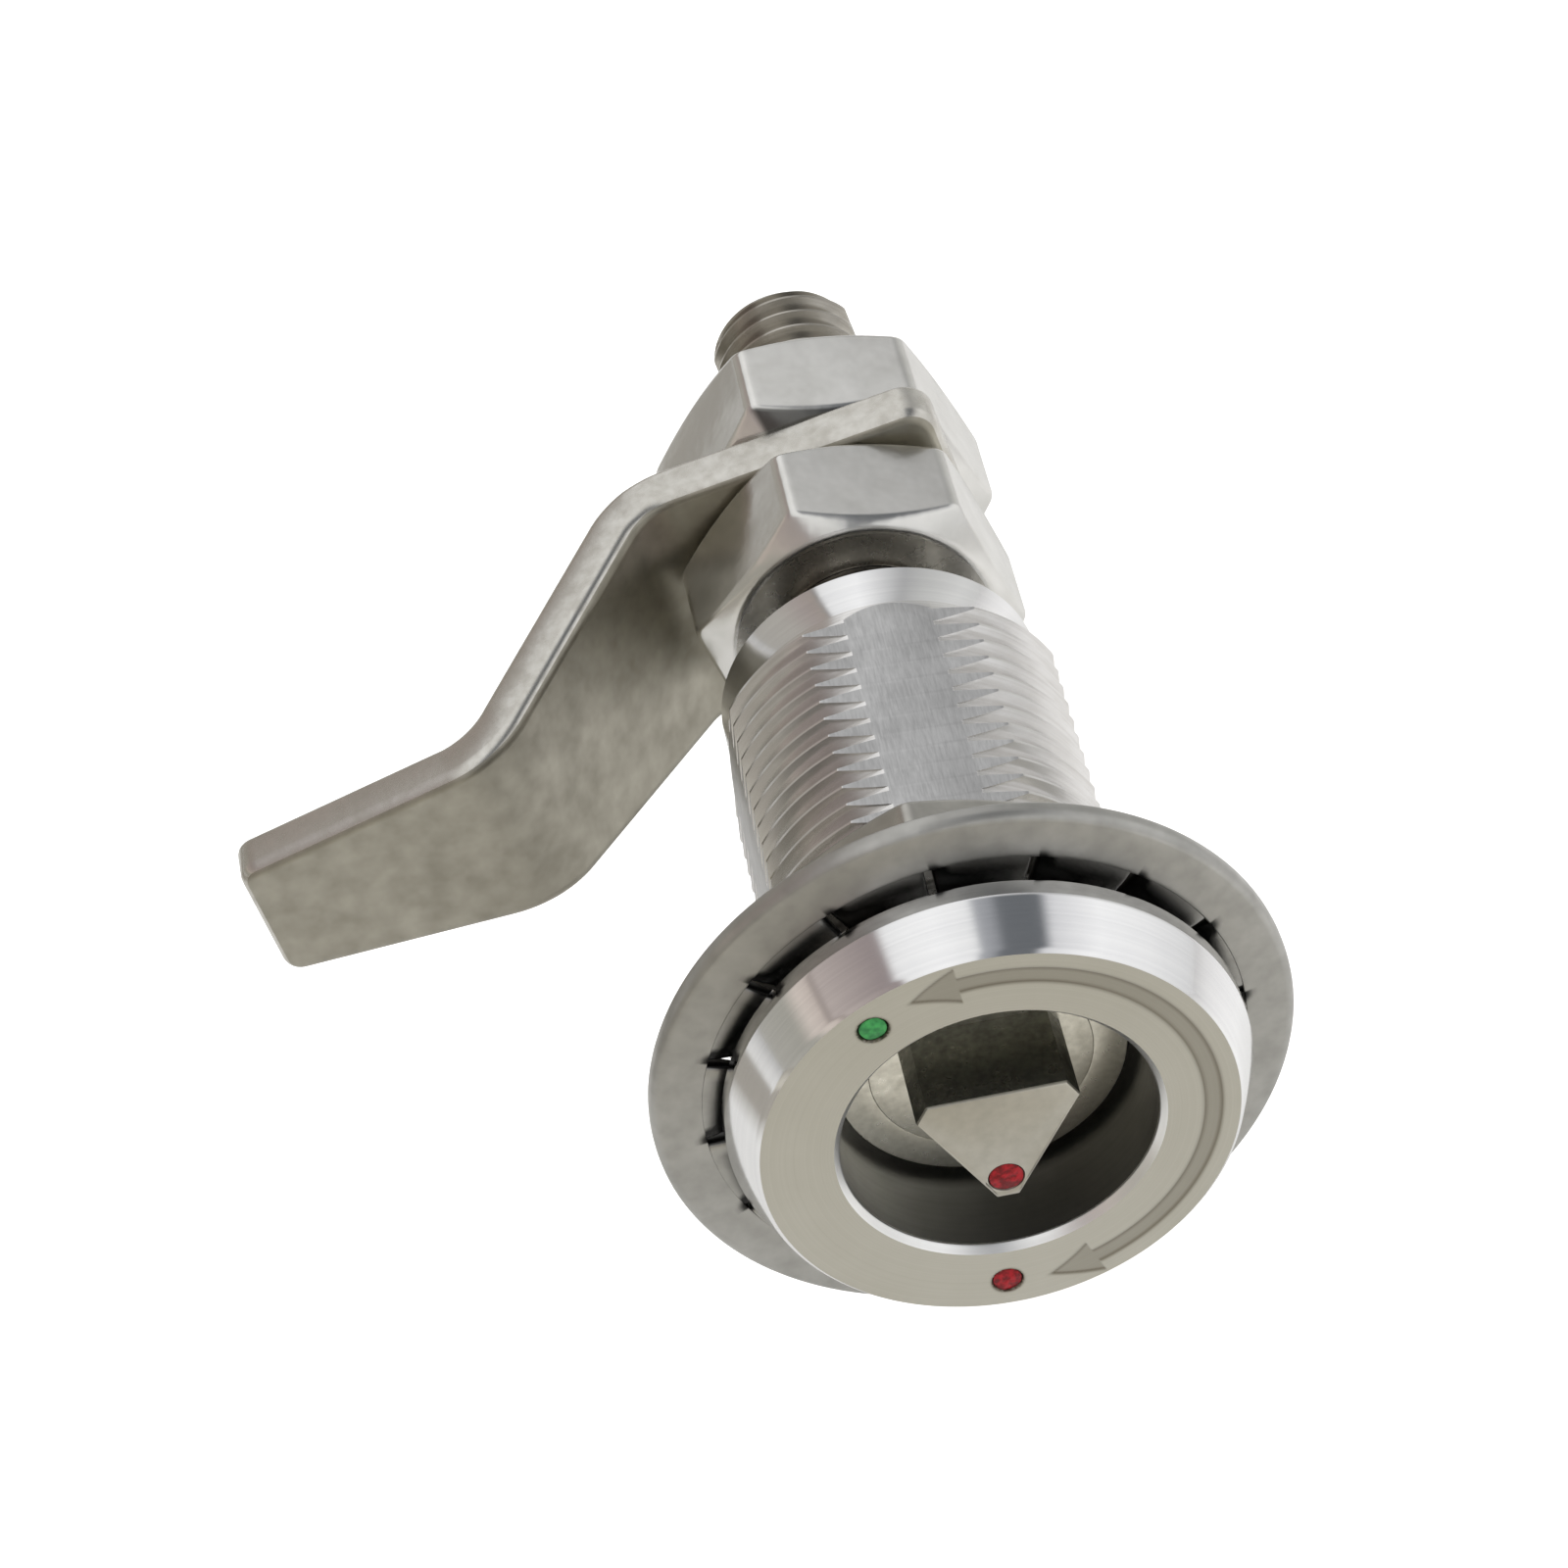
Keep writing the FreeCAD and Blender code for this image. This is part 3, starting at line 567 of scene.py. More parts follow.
@dataclass
class Flange(Piece):
    """Round flange with its key recess: the front of the housing."""

    name, node, slot = "housing_flange", "housing", "turned_stainless"
    finishes = (BORED, FACE_STEEL, POLISHED, EASED)
    rear_r: float = 15.0
    thickness: float = 4.4
    land: float = 1.2
    face_r: float = 13.8
    face_break: float = 0.25
    bevel_edge: float = 0.15     # rounding of the bevel's two ends
    mouth: float = 0.4
    mouth_edge: float = 0.12     # rounding of the mouth's and the face's edges
    columns: int = 720
    face_rows: int = 40
    margin: float = 0.05         # the face's rim, which nothing is pressed into
    arrow_ring: float = 12.0
    arrow_w: float = 1.0
    arrow_head_w: float = 2.5
    arrow_head_turn: float = 13.0
    arrow_middle: float = 287.5
    arrow_half_turn: float = 95.5
    arrow_depth: float = 0.05
    arrow_slope: float = 0.12    # width of its etched edge
    arrow_shade: float = 0.42
    arrow_edge_shade: float = 0.5
    dimple_ring: float = 11.7
    dimple_r: float = 0.85
    dimple_depth: float = 0.3
    dimple_slope: float = 0.06
    dimple_angles: tuple[float, float] = (180.0, 35.5)
    rim_width: float = 0.12      # width of the dark line round a dimple
    rim_shade: float = 1.2

    def arrow(self, radius: np.ndarray, angle: np.ndarray) -> tuple[np.ndarray, np.ndarray]:
        """Work out the two-headed arrow etched in the face.

        The half width at a turn d from the arrow's middle is half the line's width, and in each
        head it falls in a straight line from half the head's width at its base to 0 at the tip.

        Args:
            radius: distance of each face point from the axis.
            angle: angle of each face point in degrees.

        Returns:
            How far each point is inside the arrow, from 0 to 1, and how near it is to its edge.
        """
        turn = np.abs((angle - self.arrow_middle + 180) % WHOLE_TURN - 180)
        base = self.arrow_half_turn - self.arrow_head_turn
        head = self.arrow_head_w / 2 * (self.arrow_half_turn - turn) / self.arrow_head_turn
        half = np.where(turn < base, self.arrow_w / 2, head)
        inside = half - np.abs(radius - self.arrow_ring)
        slope = self.arrow_slope
        return ease(inside, -slope / 2, slope / 2), np.exp(-(inside / slope) ** 2)

    def dimples(self, radius: np.ndarray, angle: np.ndarray) -> np.ndarray:
        """Work out how far each face point is from the nearest dimple's middle.

        Args:
            radius: distance of each face point from the axis.
            angle: angle of each face point in degrees.

        Returns:
            The distances, by the rule of cosines.
        """
        ring = self.dimple_ring
        cosines = [np.cos(np.radians(angle - middle)) for middle in self.dimple_angles]
        away = [np.sqrt(radius ** 2 + ring ** 2 - 2 * radius * ring * cosine) for cosine in cosines]
        return np.minimum(*away)

    def shape(self) -> bpy.types.Mesh:
        """Work out the flange.

        Its section is carried round the axis, and the face is pressed in where the arrow and
        the two dimples are.

        Returns:
            The mesh.
        """
        front = -self.thickness
        inner, outer = RECESS_R + self.mouth, self.face_r - self.face_break
        face = [(r, front) for r in np.linspace(inner, outer, self.face_rows)]
        corners = [(RECESS_R, JOINT_Y), (RECESS_R, front + self.mouth)] + face + [
            (self.face_r, front + self.face_break), (self.rear_r, -self.land), (self.rear_r, 0.0),
            (FLAT, 0.0), (FLAT, JOINT_Y)]
        edge, bevel = self.mouth_edge, self.bevel_edge
        radii = [0, edge] + [0] * len(face) + [edge, bevel, bevel, 0, 0]
        wall, front_face, polished, eased = 0, 1, 2, 3
        bands = [wall, eased] + [front_face] * (len(face) - 1) + [polished] * 6
        profile = Profile.rounded(spread(corners, self.columns), radii, bands)
        section, angles = profile.rows, round_angles(self.columns)
        radius, place = section[..., 0], section[..., 1]
        on_face = np.abs(place - front) < 1e-6
        on_face &= (radius > inner + self.margin) & (radius < outer - self.margin)
        inside, near_edge = self.arrow(radius, angles[None, :])
        away = self.dimples(radius, angles[None, :])
        half_slope = self.dimple_slope / 2
        hole = ease(away, self.dimple_r + half_slope, self.dimple_r - half_slope)
        press = np.maximum(self.arrow_depth * inside, self.dimple_depth * hole)
        rim = np.exp(-((away - self.dimple_r) / self.rim_width) ** 2)
        shade = (self.arrow_shade * inside + self.arrow_edge_shade * near_edge
                 + self.rim_shade * rim + hole)
        # painted shade on the bore wall, darkest low down
        bore = (radius < RECESS_R + self.mouth / 2) * recess_painted_shade(angles)[None, :]
        stain_and_shade = np.where(on_face, np.clip(shade, 0, 1), bore)
        section[..., 1] = place + np.where(on_face, press, 0)
        patch = Patch(turned(section, angles), profile.bands, True, stain_and_shade=stain_and_shade)
        return build_mesh(self.name, [patch])


@dataclass
class Thread:
    """An outside metric thread between two planes, as a function of angle and place."""

    crest: float
    start: float
    end: float
    pitch: float = 1.5
    depth_ratio: float = 0.6134
    root_half: float = 0.125       # half widths of root and crest, in pitches
    crest_half: float = 0.0625
    flank: float = 0.28            # where each flank has a row of its own, in pitches

    @property
    def root(self) -> float:
        """Return the radius of the groove's floor."""
        return self.crest - self.depth_ratio * self.pitch

    def marks(self) -> np.ndarray:
        """Work out where the rows lie, over one turn more than the thread's length.

        Returns:
            The place of each row along the axis at angle 0.
        """
        half = np.array([0, self.root_half, self.flank, 0.5 - self.crest_half])
        turn = np.concatenate([half, [0.5], 1 - half[:0:-1]])
        turns = math.ceil((self.end - self.start) / self.pitch) + 2
        return self.start + self.pitch * (np.arange(turns)[:, None] + turn[None, :]).reshape(-1)

    def radius(self, place: np.ndarray, angles: np.ndarray) -> np.ndarray:
        """Return the thread's radius.

        The helix makes one pitch a turn, so the phase is the place plus pitch times the turn.
        The radius is the root in the groove's floor, the crest on top and a straight flank between.

        Args:
            place: place of each point along the axis.
            angles: angle of each point in degrees.

        Returns:
            The radius at each point.
        """
        phase = ((place - self.start) / self.pitch + angles / WHOLE_TURN) % 1.0
        away = np.abs(phase - 0.5)
        rise = (0.5 - self.root_half - away) / (0.5 - self.root_half - self.crest_half)
        return self.root + (self.crest - self.root) * np.clip(rise, 0, 1)

    def rows(self, angles: np.ndarray) -> Section:
        """Return the thread's section rows, held between its two planes.

        Each row follows the helix: its place falls by one pitch over a turn.

        Args:
            angles: angle of each column in degrees.

        Returns:
            The section rows.
        """
        place = self.marks()[:, None] - self.pitch * angles[None, :] / WHOLE_TURN
        place = np.clip(place, self.start, self.end)
        return np.stack([self.radius(place, angles[None, :]), place], axis=-1)


@dataclass
class ThreadedBody(Piece):
    """Threaded body of the housing, with its flats, collar and stepped bore."""

    name, node, slot = "housing_body", "housing", "turned_stainless"
    finishes = (THREAD_STEEL, BRUSHED, POLISHED, BORED)
    flat_finish = 1
    thread: Thread
    collar_r: float = 9.7
    runout: float = 1.1
    end_y: float = 34.0
    collar_break: float = 0.3
    rear_bore_r: float = 8.0
    groove_r: float = 8.5
    groove: tuple[float, float] = (32.3, 33.4)
    channel_r: float = 8.75
    channel_y: float = 26.8
    channel_sector: tuple[float, float] = (122.5, 237.5)
    step_y: float = 24.25
    bore_r: float = 7.05
    shoulder_y: float = 4.2
    column_step: float = 2.0

    def angles(self) -> np.ndarray:
        """Return the columns, a step apart and double at the channel's ends."""
        ends = [end + nudge for end in self.channel_sector for nudge in (-1e-6, 1e-6)]
        return np.sort(np.concatenate([np.arange(0, WHOLE_TURN + 1, self.column_step), ends]))

    def shape(self) -> bpy.types.Mesh:
        """Work out the threaded body.

        The outside follows the thread and then the collar, and the four flats are cut as planes.
        The rear of the bore is wider between the channel's two angles.

        Returns:
            The mesh.
        """
        angles = self.angles()
        columns = len(angles)
        root, start, end = self.thread.root, self.thread.start, self.thread.end
        lead = spread([(root, JOINT_Y), (root, start)], columns)
        threads = self.thread.rows(angles)
        tail = spread([(root, end), (self.collar_r, end + self.runout),
                       (self.collar_r, self.end_y - self.collar_break),
                       (self.collar_r - self.collar_break, self.end_y)], columns)
        first, last = self.groove
        bore = spread([(self.rear_bore_r, self.end_y), (self.rear_bore_r, last),
                       (self.groove_r, last), (self.groove_r, first), (self.rear_bore_r, first),
                       (self.rear_bore_r, self.channel_y)], columns)
        low, high = self.channel_sector
        bore[:, (angles > low) & (angles < high), 0] = self.channel_r
        front = spread([(self.rear_bore_r, self.channel_y), (self.rear_bore_r, self.step_y),
                        (self.bore_r, self.step_y), (self.bore_r, self.shoulder_y),
                        (RECESS_R, self.shoulder_y), (RECESS_R, JOINT_Y)], columns)
        grid = turned(np.concatenate([lead, threads, tail, bore, front]), angles)
        cut, polished, bored = 0, 2, 3
        bands = [cut] * (len(lead) + len(threads) + 1) + [polished] * (len(tail) - 1)
        bands += [bored] * (len(bore) + len(front))
        stain_and_shade = np.zeros(grid.shape[:2])
        # painted shade on the last two bore rows, darkest low down
        stain_and_shade[-2:] = recess_painted_shade(angles)
        mesh = build_mesh(self.name, [Patch(grid, bands, True, False, stain_and_shade)])
        cut_flats(mesh, FLAT, (0, 90, 180, 270), self.flat_finish)
        return mesh


@dataclass
class PaintDot(Piece):
    """Blob of enamel that fills a drilled dimple, with a slightly uneven crown."""

    sharp = 60.0
    name: str
    node: str
    slot: str
    finishes: tuple[Coating]
    ring: float
    angle: float
    radius: float
    face_y: float = -4.4
    floor: float = 0.28
    sink: float = 0.1
    crown: float = 0.09
    waves: tuple[tuple[int, float], ...] = ((3, 0.02), (5, 0.015))   # number round it, height
    around: int = 48
    rings: int = 12
    first_ring: float = 0.08     # as a share of the radius

    def shape(self) -> bpy.types.Mesh:
        """Work out the blob.

        Its height over the dimple's floor falls as the square of the distance from its middle,
        with two slow waves round it, and its foot is flat.

        Returns:
            The mesh.
        """
        turns = np.radians(round_angles(self.around))
        share = np.concatenate([[0.0], np.linspace(self.first_ring, 1.0, self.rings)])[:, None]
        wave = sum(height * np.sin(count * turns + (count // 2) * self.angle)
                   for count, height in self.waves)
        top = self.face_y + self.sink - self.crown * (1 - share ** 2) + wave * share
        reach = self.radius * share * np.ones_like(turns)
        foot = np.full_like(top, self.face_y + self.floor)
        height, far = np.concatenate([top, foot]), np.concatenate([reach, reach[::-1]])
        lean = math.radians(self.angle)
        x = -self.ring * math.sin(lean) + far * np.cos(turns)
        z = self.ring * math.cos(lean) + far * np.sin(turns)
        return build_mesh(self.name, [Patch(np.stack([x, height, z], axis=-1))])


@dataclass
class FloorRing(Piece):
    """Worn ring round the driver's collar, the pale floor of the recess."""

    name, node, slot = "recess_floor_ring", "driver_face_ring", "driver_stainless"
    finishes = (WORN_STEEL,)
    outer_r: float = 8.4
    inner_r: float = 6.42
    front_y: float = 1.6
    back_y: float = 2.58
    inner_edge: float = 0.05
    outer_edge: float = 0.15
    columns: int = 240

    def shape(self) -> bpy.types.Mesh:
        """Work out the ring: a section with rounded front edges, carried round the axis.

        Returns:
            The mesh.
        """
        corners = [(self.inner_r, self.back_y), (self.inner_r, self.front_y),
                   (self.outer_r, self.front_y), (self.outer_r, self.back_y)]
        profile = Profile.rounded(spread(corners, self.columns),
                                  [0, self.inner_edge, self.outer_edge, 0])
        grid = turned(profile.rows, round_angles(self.columns))
        return build_mesh(self.name, [Patch(grid, join_rows=True)])


@dataclass
class SoftenedCopy(Piece):
    """A frame node copied with the edges in front of a plane bevelled."""

    name: str
    node: str
    slot: str
    finishes: tuple[Finish, Finish, Finish]   # ends and sides in front of the plane, and the rest
    front_of: float
    bevel: float
    crease: float = 25.0         # edges that turn more than this many degrees are bevelled
    flatness: float = 0.5        # and those that turn less than this many are dissolved
    steep: float = 0.2           # a side's normal has less than this along the axis

    def shape(self) -> bpy.types.Mesh:
        """Work out the copy.

        Coincident points are joined, flat regions become single faces, and each crease in front
        of the plane gets a narrow two-step bevel. Faces there that stand along the axis get the
        side finish, and faces behind the plane the third finish.

        Returns:
            The mesh.
        """
        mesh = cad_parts[self.node].data.copy()
        mesh.name = self.name
        mesh.materials.clear()
        for key in [layer.name for layer in mesh.uv_layers]:
            mesh.uv_layers.remove(mesh.uv_layers[key])
        if mesh.has_custom_normals:
            mesh.attributes.remove(mesh.attributes["custom_normal"])
        plane = self.front_of * MM
        work = bmesh.new()
        work.from_mesh(mesh)
        bmesh.ops.remove_doubles(work, verts=work.verts, dist=1e-6)
        bmesh.ops.dissolve_limit(work, angle_limit=math.radians(self.flatness),
                                 verts=work.verts, edges=work.edges)
        edges = [edge for edge in work.edges
                 if edge.is_manifold and all(vert.co.y < plane for vert in edge.verts)
                 and edge.calc_face_angle() > math.radians(self.crease)]
        bmesh.ops.bevel(work, geom=edges, offset=self.bevel * MM, segments=2, profile=0.5,
                        affect="EDGES")
        bmesh.ops.triangulate(work, faces=work.faces)
        work.to_mesh(mesh)
        work.free()
        for face in mesh.polygons:
            along_axis = abs(face.normal.y) < self.steep
            face.material_index = int(along_axis) if face.center.y < plane else 2
        return mesh


@dataclass
class HexNut(Piece):
    """Hexagon nut with rounded corners and a 30 degree bevel on both faces."""

    slot = "nut_stainless"
    name: str
    node: str
    vertex_angle: float
    start_y: float
    across_flats: float = 18.0
    height: float = 8.0
    bore_r: float = 5.02
    finishes: tuple[Finish, Finish] = (FORGED, SCALED)   # of the sides and of the bearing faces
    dark_bevel_angles: tuple[float, float] = (0.0, 0.0)   # angles between which the front bevel is dark
    dark_bevel_fade: tuple[float, float] = (6.0, 3.0)   # degrees over which it comes and goes
    dark_bevel_edge: float = 0.1      # half width of its edge on the bevel's rim
    dark_bevel_strength: float = 0.85
    corner_r: float = 0.9
    land_ratio: float = 0.46
    bevel_angle: float = 30.0
    bore_break: float = 0.5
    bore_edge: float = 0.1
    soft_edge: float = 0.35
    columns: int = 360

    def outline(self, angles: np.ndarray) -> np.ndarray:
        """Return the hexagon's radius with rounded corners.

        Within a corner the radius is where a ray meets the corner's circle, and elsewhere it is
        the inner radius over the cosine of the turn from the nearest side's normal.

        Args:
            angles: angle of each column in degrees.

        Returns:
            The radius at each angle.
        """
        turn = np.radians((angles - self.vertex_angle + 30) % 60 - 30)
        half_side = math.radians(30)
        apothem = self.across_flats / 2
        middle = (apothem - self.corner_r) / math.cos(half_side)
        touch = math.atan2(self.corner_r / 2, middle + self.corner_r * math.cos(half_side))
        inside = np.maximum(self.corner_r ** 2 - (middle * np.sin(turn)) ** 2, 0)
        corner = middle * np.cos(turn) + np.sqrt(inside)
        side = apothem / np.cos(half_side - np.abs(turn))
        return np.where(np.abs(turn) < touch, corner, side)

    def dark_bevel(self, angles: np.ndarray, depth: np.ndarray) -> np.ndarray:
        """Return how dark the front bevel is made between two angles, ending at its outer edge.

        Args:
            angles: angle of each column in degrees.
            depth: how far each point lies behind the bevel's outer edge.

        Returns:
            The darkness at each point.
        """
        turn = (angles + 180) % WHOLE_TURN - 180
        (first, last), (come, go) = self.dark_bevel_angles, self.dark_bevel_fade
        patch = ease(turn, first, first + come) * ease(turn, last, last - go)
        return self.dark_bevel_strength * ease(depth, self.dark_bevel_edge, -self.dark_bevel_edge) * patch

    def shape(self) -> bpy.types.Mesh:
        """Work out the nut.

        At each angle the bevel drops by the tangent of its angle times what the hexagon reaches
        past the flat land, which bows the edges of its sides. The rear is the front's mirror.

        Returns:
            The mesh.
        """
        angles = round_angles(self.columns)
        reach = self.outline(angles)
        land = self.across_flats * self.land_ratio
        drop = (reach - land) * math.tan(math.radians(self.bevel_angle))
        front = [(self.bore_r, self.bore_break), (self.bore_r + self.bore_break, 0), (land, 0),
                 (reach, drop)]
        half = np.stack([np.stack([radius + 0 * angles, depth + 0 * angles], -1)
                         for radius, depth in front])
        rear = half[::-1] * (1, -1) + (0, self.height)
        corners = np.concatenate([half, rear]) + (0, self.start_y)
        radii = [self.bore_edge, self.bore_edge, self.soft_edge, self.soft_edge]
        side, bearing = 0, 1
        bands = [side, bearing, side, side] * 2
        profile = Profile.rounded(corners, radii + radii[::-1], bands, steps=4)
        stain_and_shade = self.dark_bevel(angles, profile.rows[..., 1] - self.start_y - drop)
        patch = Patch(turned(profile.rows, angles), profile.bands, True, stain_and_shade=stain_and_shade)
        return build_mesh(self.name, [patch])


@dataclass
class ToothWasher(Piece):
    """Dished washer with a rounded rim and broad twisted teeth, lying loose and a little tilted."""

    name, node, slot = "toothed_washer", "tooth_washer", "pressed_stainless"
    finishes = (WASHER_STEEL,)
    sharp = 45.0
    rim_r: float = 18.5
    rim_edges: tuple[float, float] = (0.55, 0.4)     # rounding of its front and rear
    ring_r: float = 15.6
    ring_edge: float = 0.08
    ring_rows: tuple[float, ...] = (15.85, 16.1, 16.4)   # rows that carry the painted shade's hooks
    thickness: float = 1.2
    dish: float = 0.2
    tooth_tip_r: float = 12.2
    root_t: float = 1.16
    tooth_t: float = 0.8
    slit: float = 0.45
    teeth: int = 16
    first_slit: float = 8.0
    twist: float = -4.0
    twist_run: float = 2.0       # over which a tooth takes up its twist
    thin_run: tuple[float, float] = (0.7, 1.9)       # from the ring, where it gets thinner
    squareness: float = 0.3      # power that squares its section up; 1 is an ellipse
    foot: float = 0.15           # how far it is sunk into the ring
    tip_edge: float = 0.25
    tip_shrink: float = 0.8
    # painted shade on the teeth and slits, for the shadow between the washer and the flange
    tooth_shade_depth: float = 0.95
    tooth_shade_start: float = 0.1       # how far inside the ring the painted shade begins
    tooth_shade_fade: float = 1.0        # over which it gets black
    bright_side: tuple[float, float] = (0.9, 0.4)    # across a tooth, where the painted shade is gone, and where it is full
    wall_shade: float = 0.9      # painted shade of the slits' walls
    wall: tuple[float, float] = (0.93, 0.98)         # across a tooth, where they begin, and are full
    shade_hook: float = 0.8            # how far the painted shade's hooks reach outwards
    shade_hook_side: tuple[float, float] = (-0.5, -0.9)    # across a tooth, where they begin, and are full
    place_y: float = 1.9
    shift: float = 0.4
    tilt: float = 2.0
    columns: int = 720

    def painted_tooth_shade(self, radius: np.ndarray, share: np.ndarray) -> np.ndarray:
        """Return the painted shade on the washer, which stands in for the shadow between it and the
        flange.

        It is more towards the teeth's tips, and less at their forward side. At a tooth's rear
        side the painted shade runs out over the ring as a short hook, a painted notch.

        Args:
            radius: distance from the axis.
            share: place across a tooth, from -1 at its rear side to 1 at its forward side.

        Returns:
            The painted shade at each point.
        """
        shade_hook = self.shade_hook * ease(share, *self.shade_hook_side)
        edge = self.ring_r - self.tooth_shade_start + shade_hook
        inward = ease(radius, edge, edge - self.tooth_shade_fade + shade_hook / 2)
        return self.tooth_shade_depth * inward * ease(share, *self.bright_side)

    def ring(self) -> Patch:
        """Work out the ring: a dished section with full rounded edges, carried round the axis.

        Returns:
            The ring's grid.
        """
        half = self.thickness / 2
        front = [(r, -half - self.dish * (self.rim_r - r) / (self.rim_r - self.ring_r))
                 for r in (self.ring_r, *self.ring_rows, self.rim_r)]
        corners = [(self.ring_r, half - self.dish)] + front + [(self.rim_r, half)]
        radii = [self.ring_edge, self.ring_edge] + [0] * len(self.ring_rows) + list(self.rim_edges)
        profile = Profile.rounded(spread(corners, self.columns), radii, steps=5)
        angles = round_angles(self.columns)
        share = 1 - 2 * (((angles - self.first_slit) / WHOLE_TURN * self.teeth) % 1.0)
        # painted shade on the ring: the hooks at the slits' ends
        stain_and_shade = self.painted_tooth_shade(profile.rows[..., 0], share[None, :])
        return Patch(turned(profile.rows, angles), join_rows=True, stain_and_shade=stain_and_shade)

    def tooth(self, angle: float) -> Patch:
        """Work out one tooth.

        A rounded bar runs in from the ring and gets thinner. Its half width is the tangent of half
        a step times the radius, less half a slit, and the slit's outer end is a half circle. The
        section turns smoothly by the twist, so one edge stands forward, and the painted shade
        leaves that edge bright.

        Args:
            angle: angle of the tooth's middle in degrees.

        Returns:
            The tooth's grid.
        """
        reach, tip, foot = self.ring_r, self.tooth_tip_r, self.ring_r + self.foot
        round_r = self.slit / 2
        bend = round_r * np.array([0.02, 0.15, 0.4, 0.7, 1.0])
        shank = np.linspace(reach - round_r - self.tip_edge, tip + self.tip_edge, 9)
        radius = np.concatenate([[foot, foot, reach], reach - bend, shank, [tip, tip]])[:, None]
        cut = np.sqrt(np.maximum(round_r ** 2 - np.maximum(radius - reach + round_r, 0) ** 2, 0))
        half = radius * math.tan(math.pi / self.teeth) - np.where(radius < reach, cut, 0)
        shrink = np.ones_like(radius)
        shrink[[0, -1]], shrink[-2] = 0, self.tip_shrink
        turn = np.radians(self.twist) * ease(radius, reach, reach - self.twist_run)
        thick_to, thin_from = self.thin_run
        thinner = ease(radius, reach - thick_to, reach - thin_from)
        deep = self.root_t + (self.tooth_t - self.root_t) * thinner
        loop = circle(np.radians(round_angles(32)))
        share, bulge = (np.sign(loop) * np.abs(loop) ** self.squareness * (1, 0.5)).T
        wide, thick = share * half * shrink, bulge * deep * shrink
        side = wide * np.cos(turn) - thick * np.sin(turn)
        depth = wide * np.sin(turn) + thick * np.cos(turn) - self.dish
        # painted shade on the slits' walls, and on the teeth towards their tips
        wall = ease(np.abs(share), *self.wall) * (radius < reach)
        stain_and_shade = np.maximum(self.painted_tooth_shade(radius, share[None, :]), self.wall_shade * wall)
        return Patch(laid(radius, depth, side, angle), stain_and_shade=stain_and_shade)

    def shape(self) -> bpy.types.Mesh:
        """Work out the washer from its ring and teeth, then tilt and shift it to where it lies.

        Returns:
            The mesh.
        """
        step = WHOLE_TURN / self.teeth
        teeth = [self.tooth(self.first_slit + (index + 0.5) * step) for index in range(self.teeth)]
        mesh = build_mesh(self.name, [self.ring()] + teeth)
        mesh.transform(Matrix.Translation((-self.shift * MM, self.place_y * MM, 0))
                       @ Matrix.Rotation(math.radians(self.tilt), 4, "Z"))
        return mesh


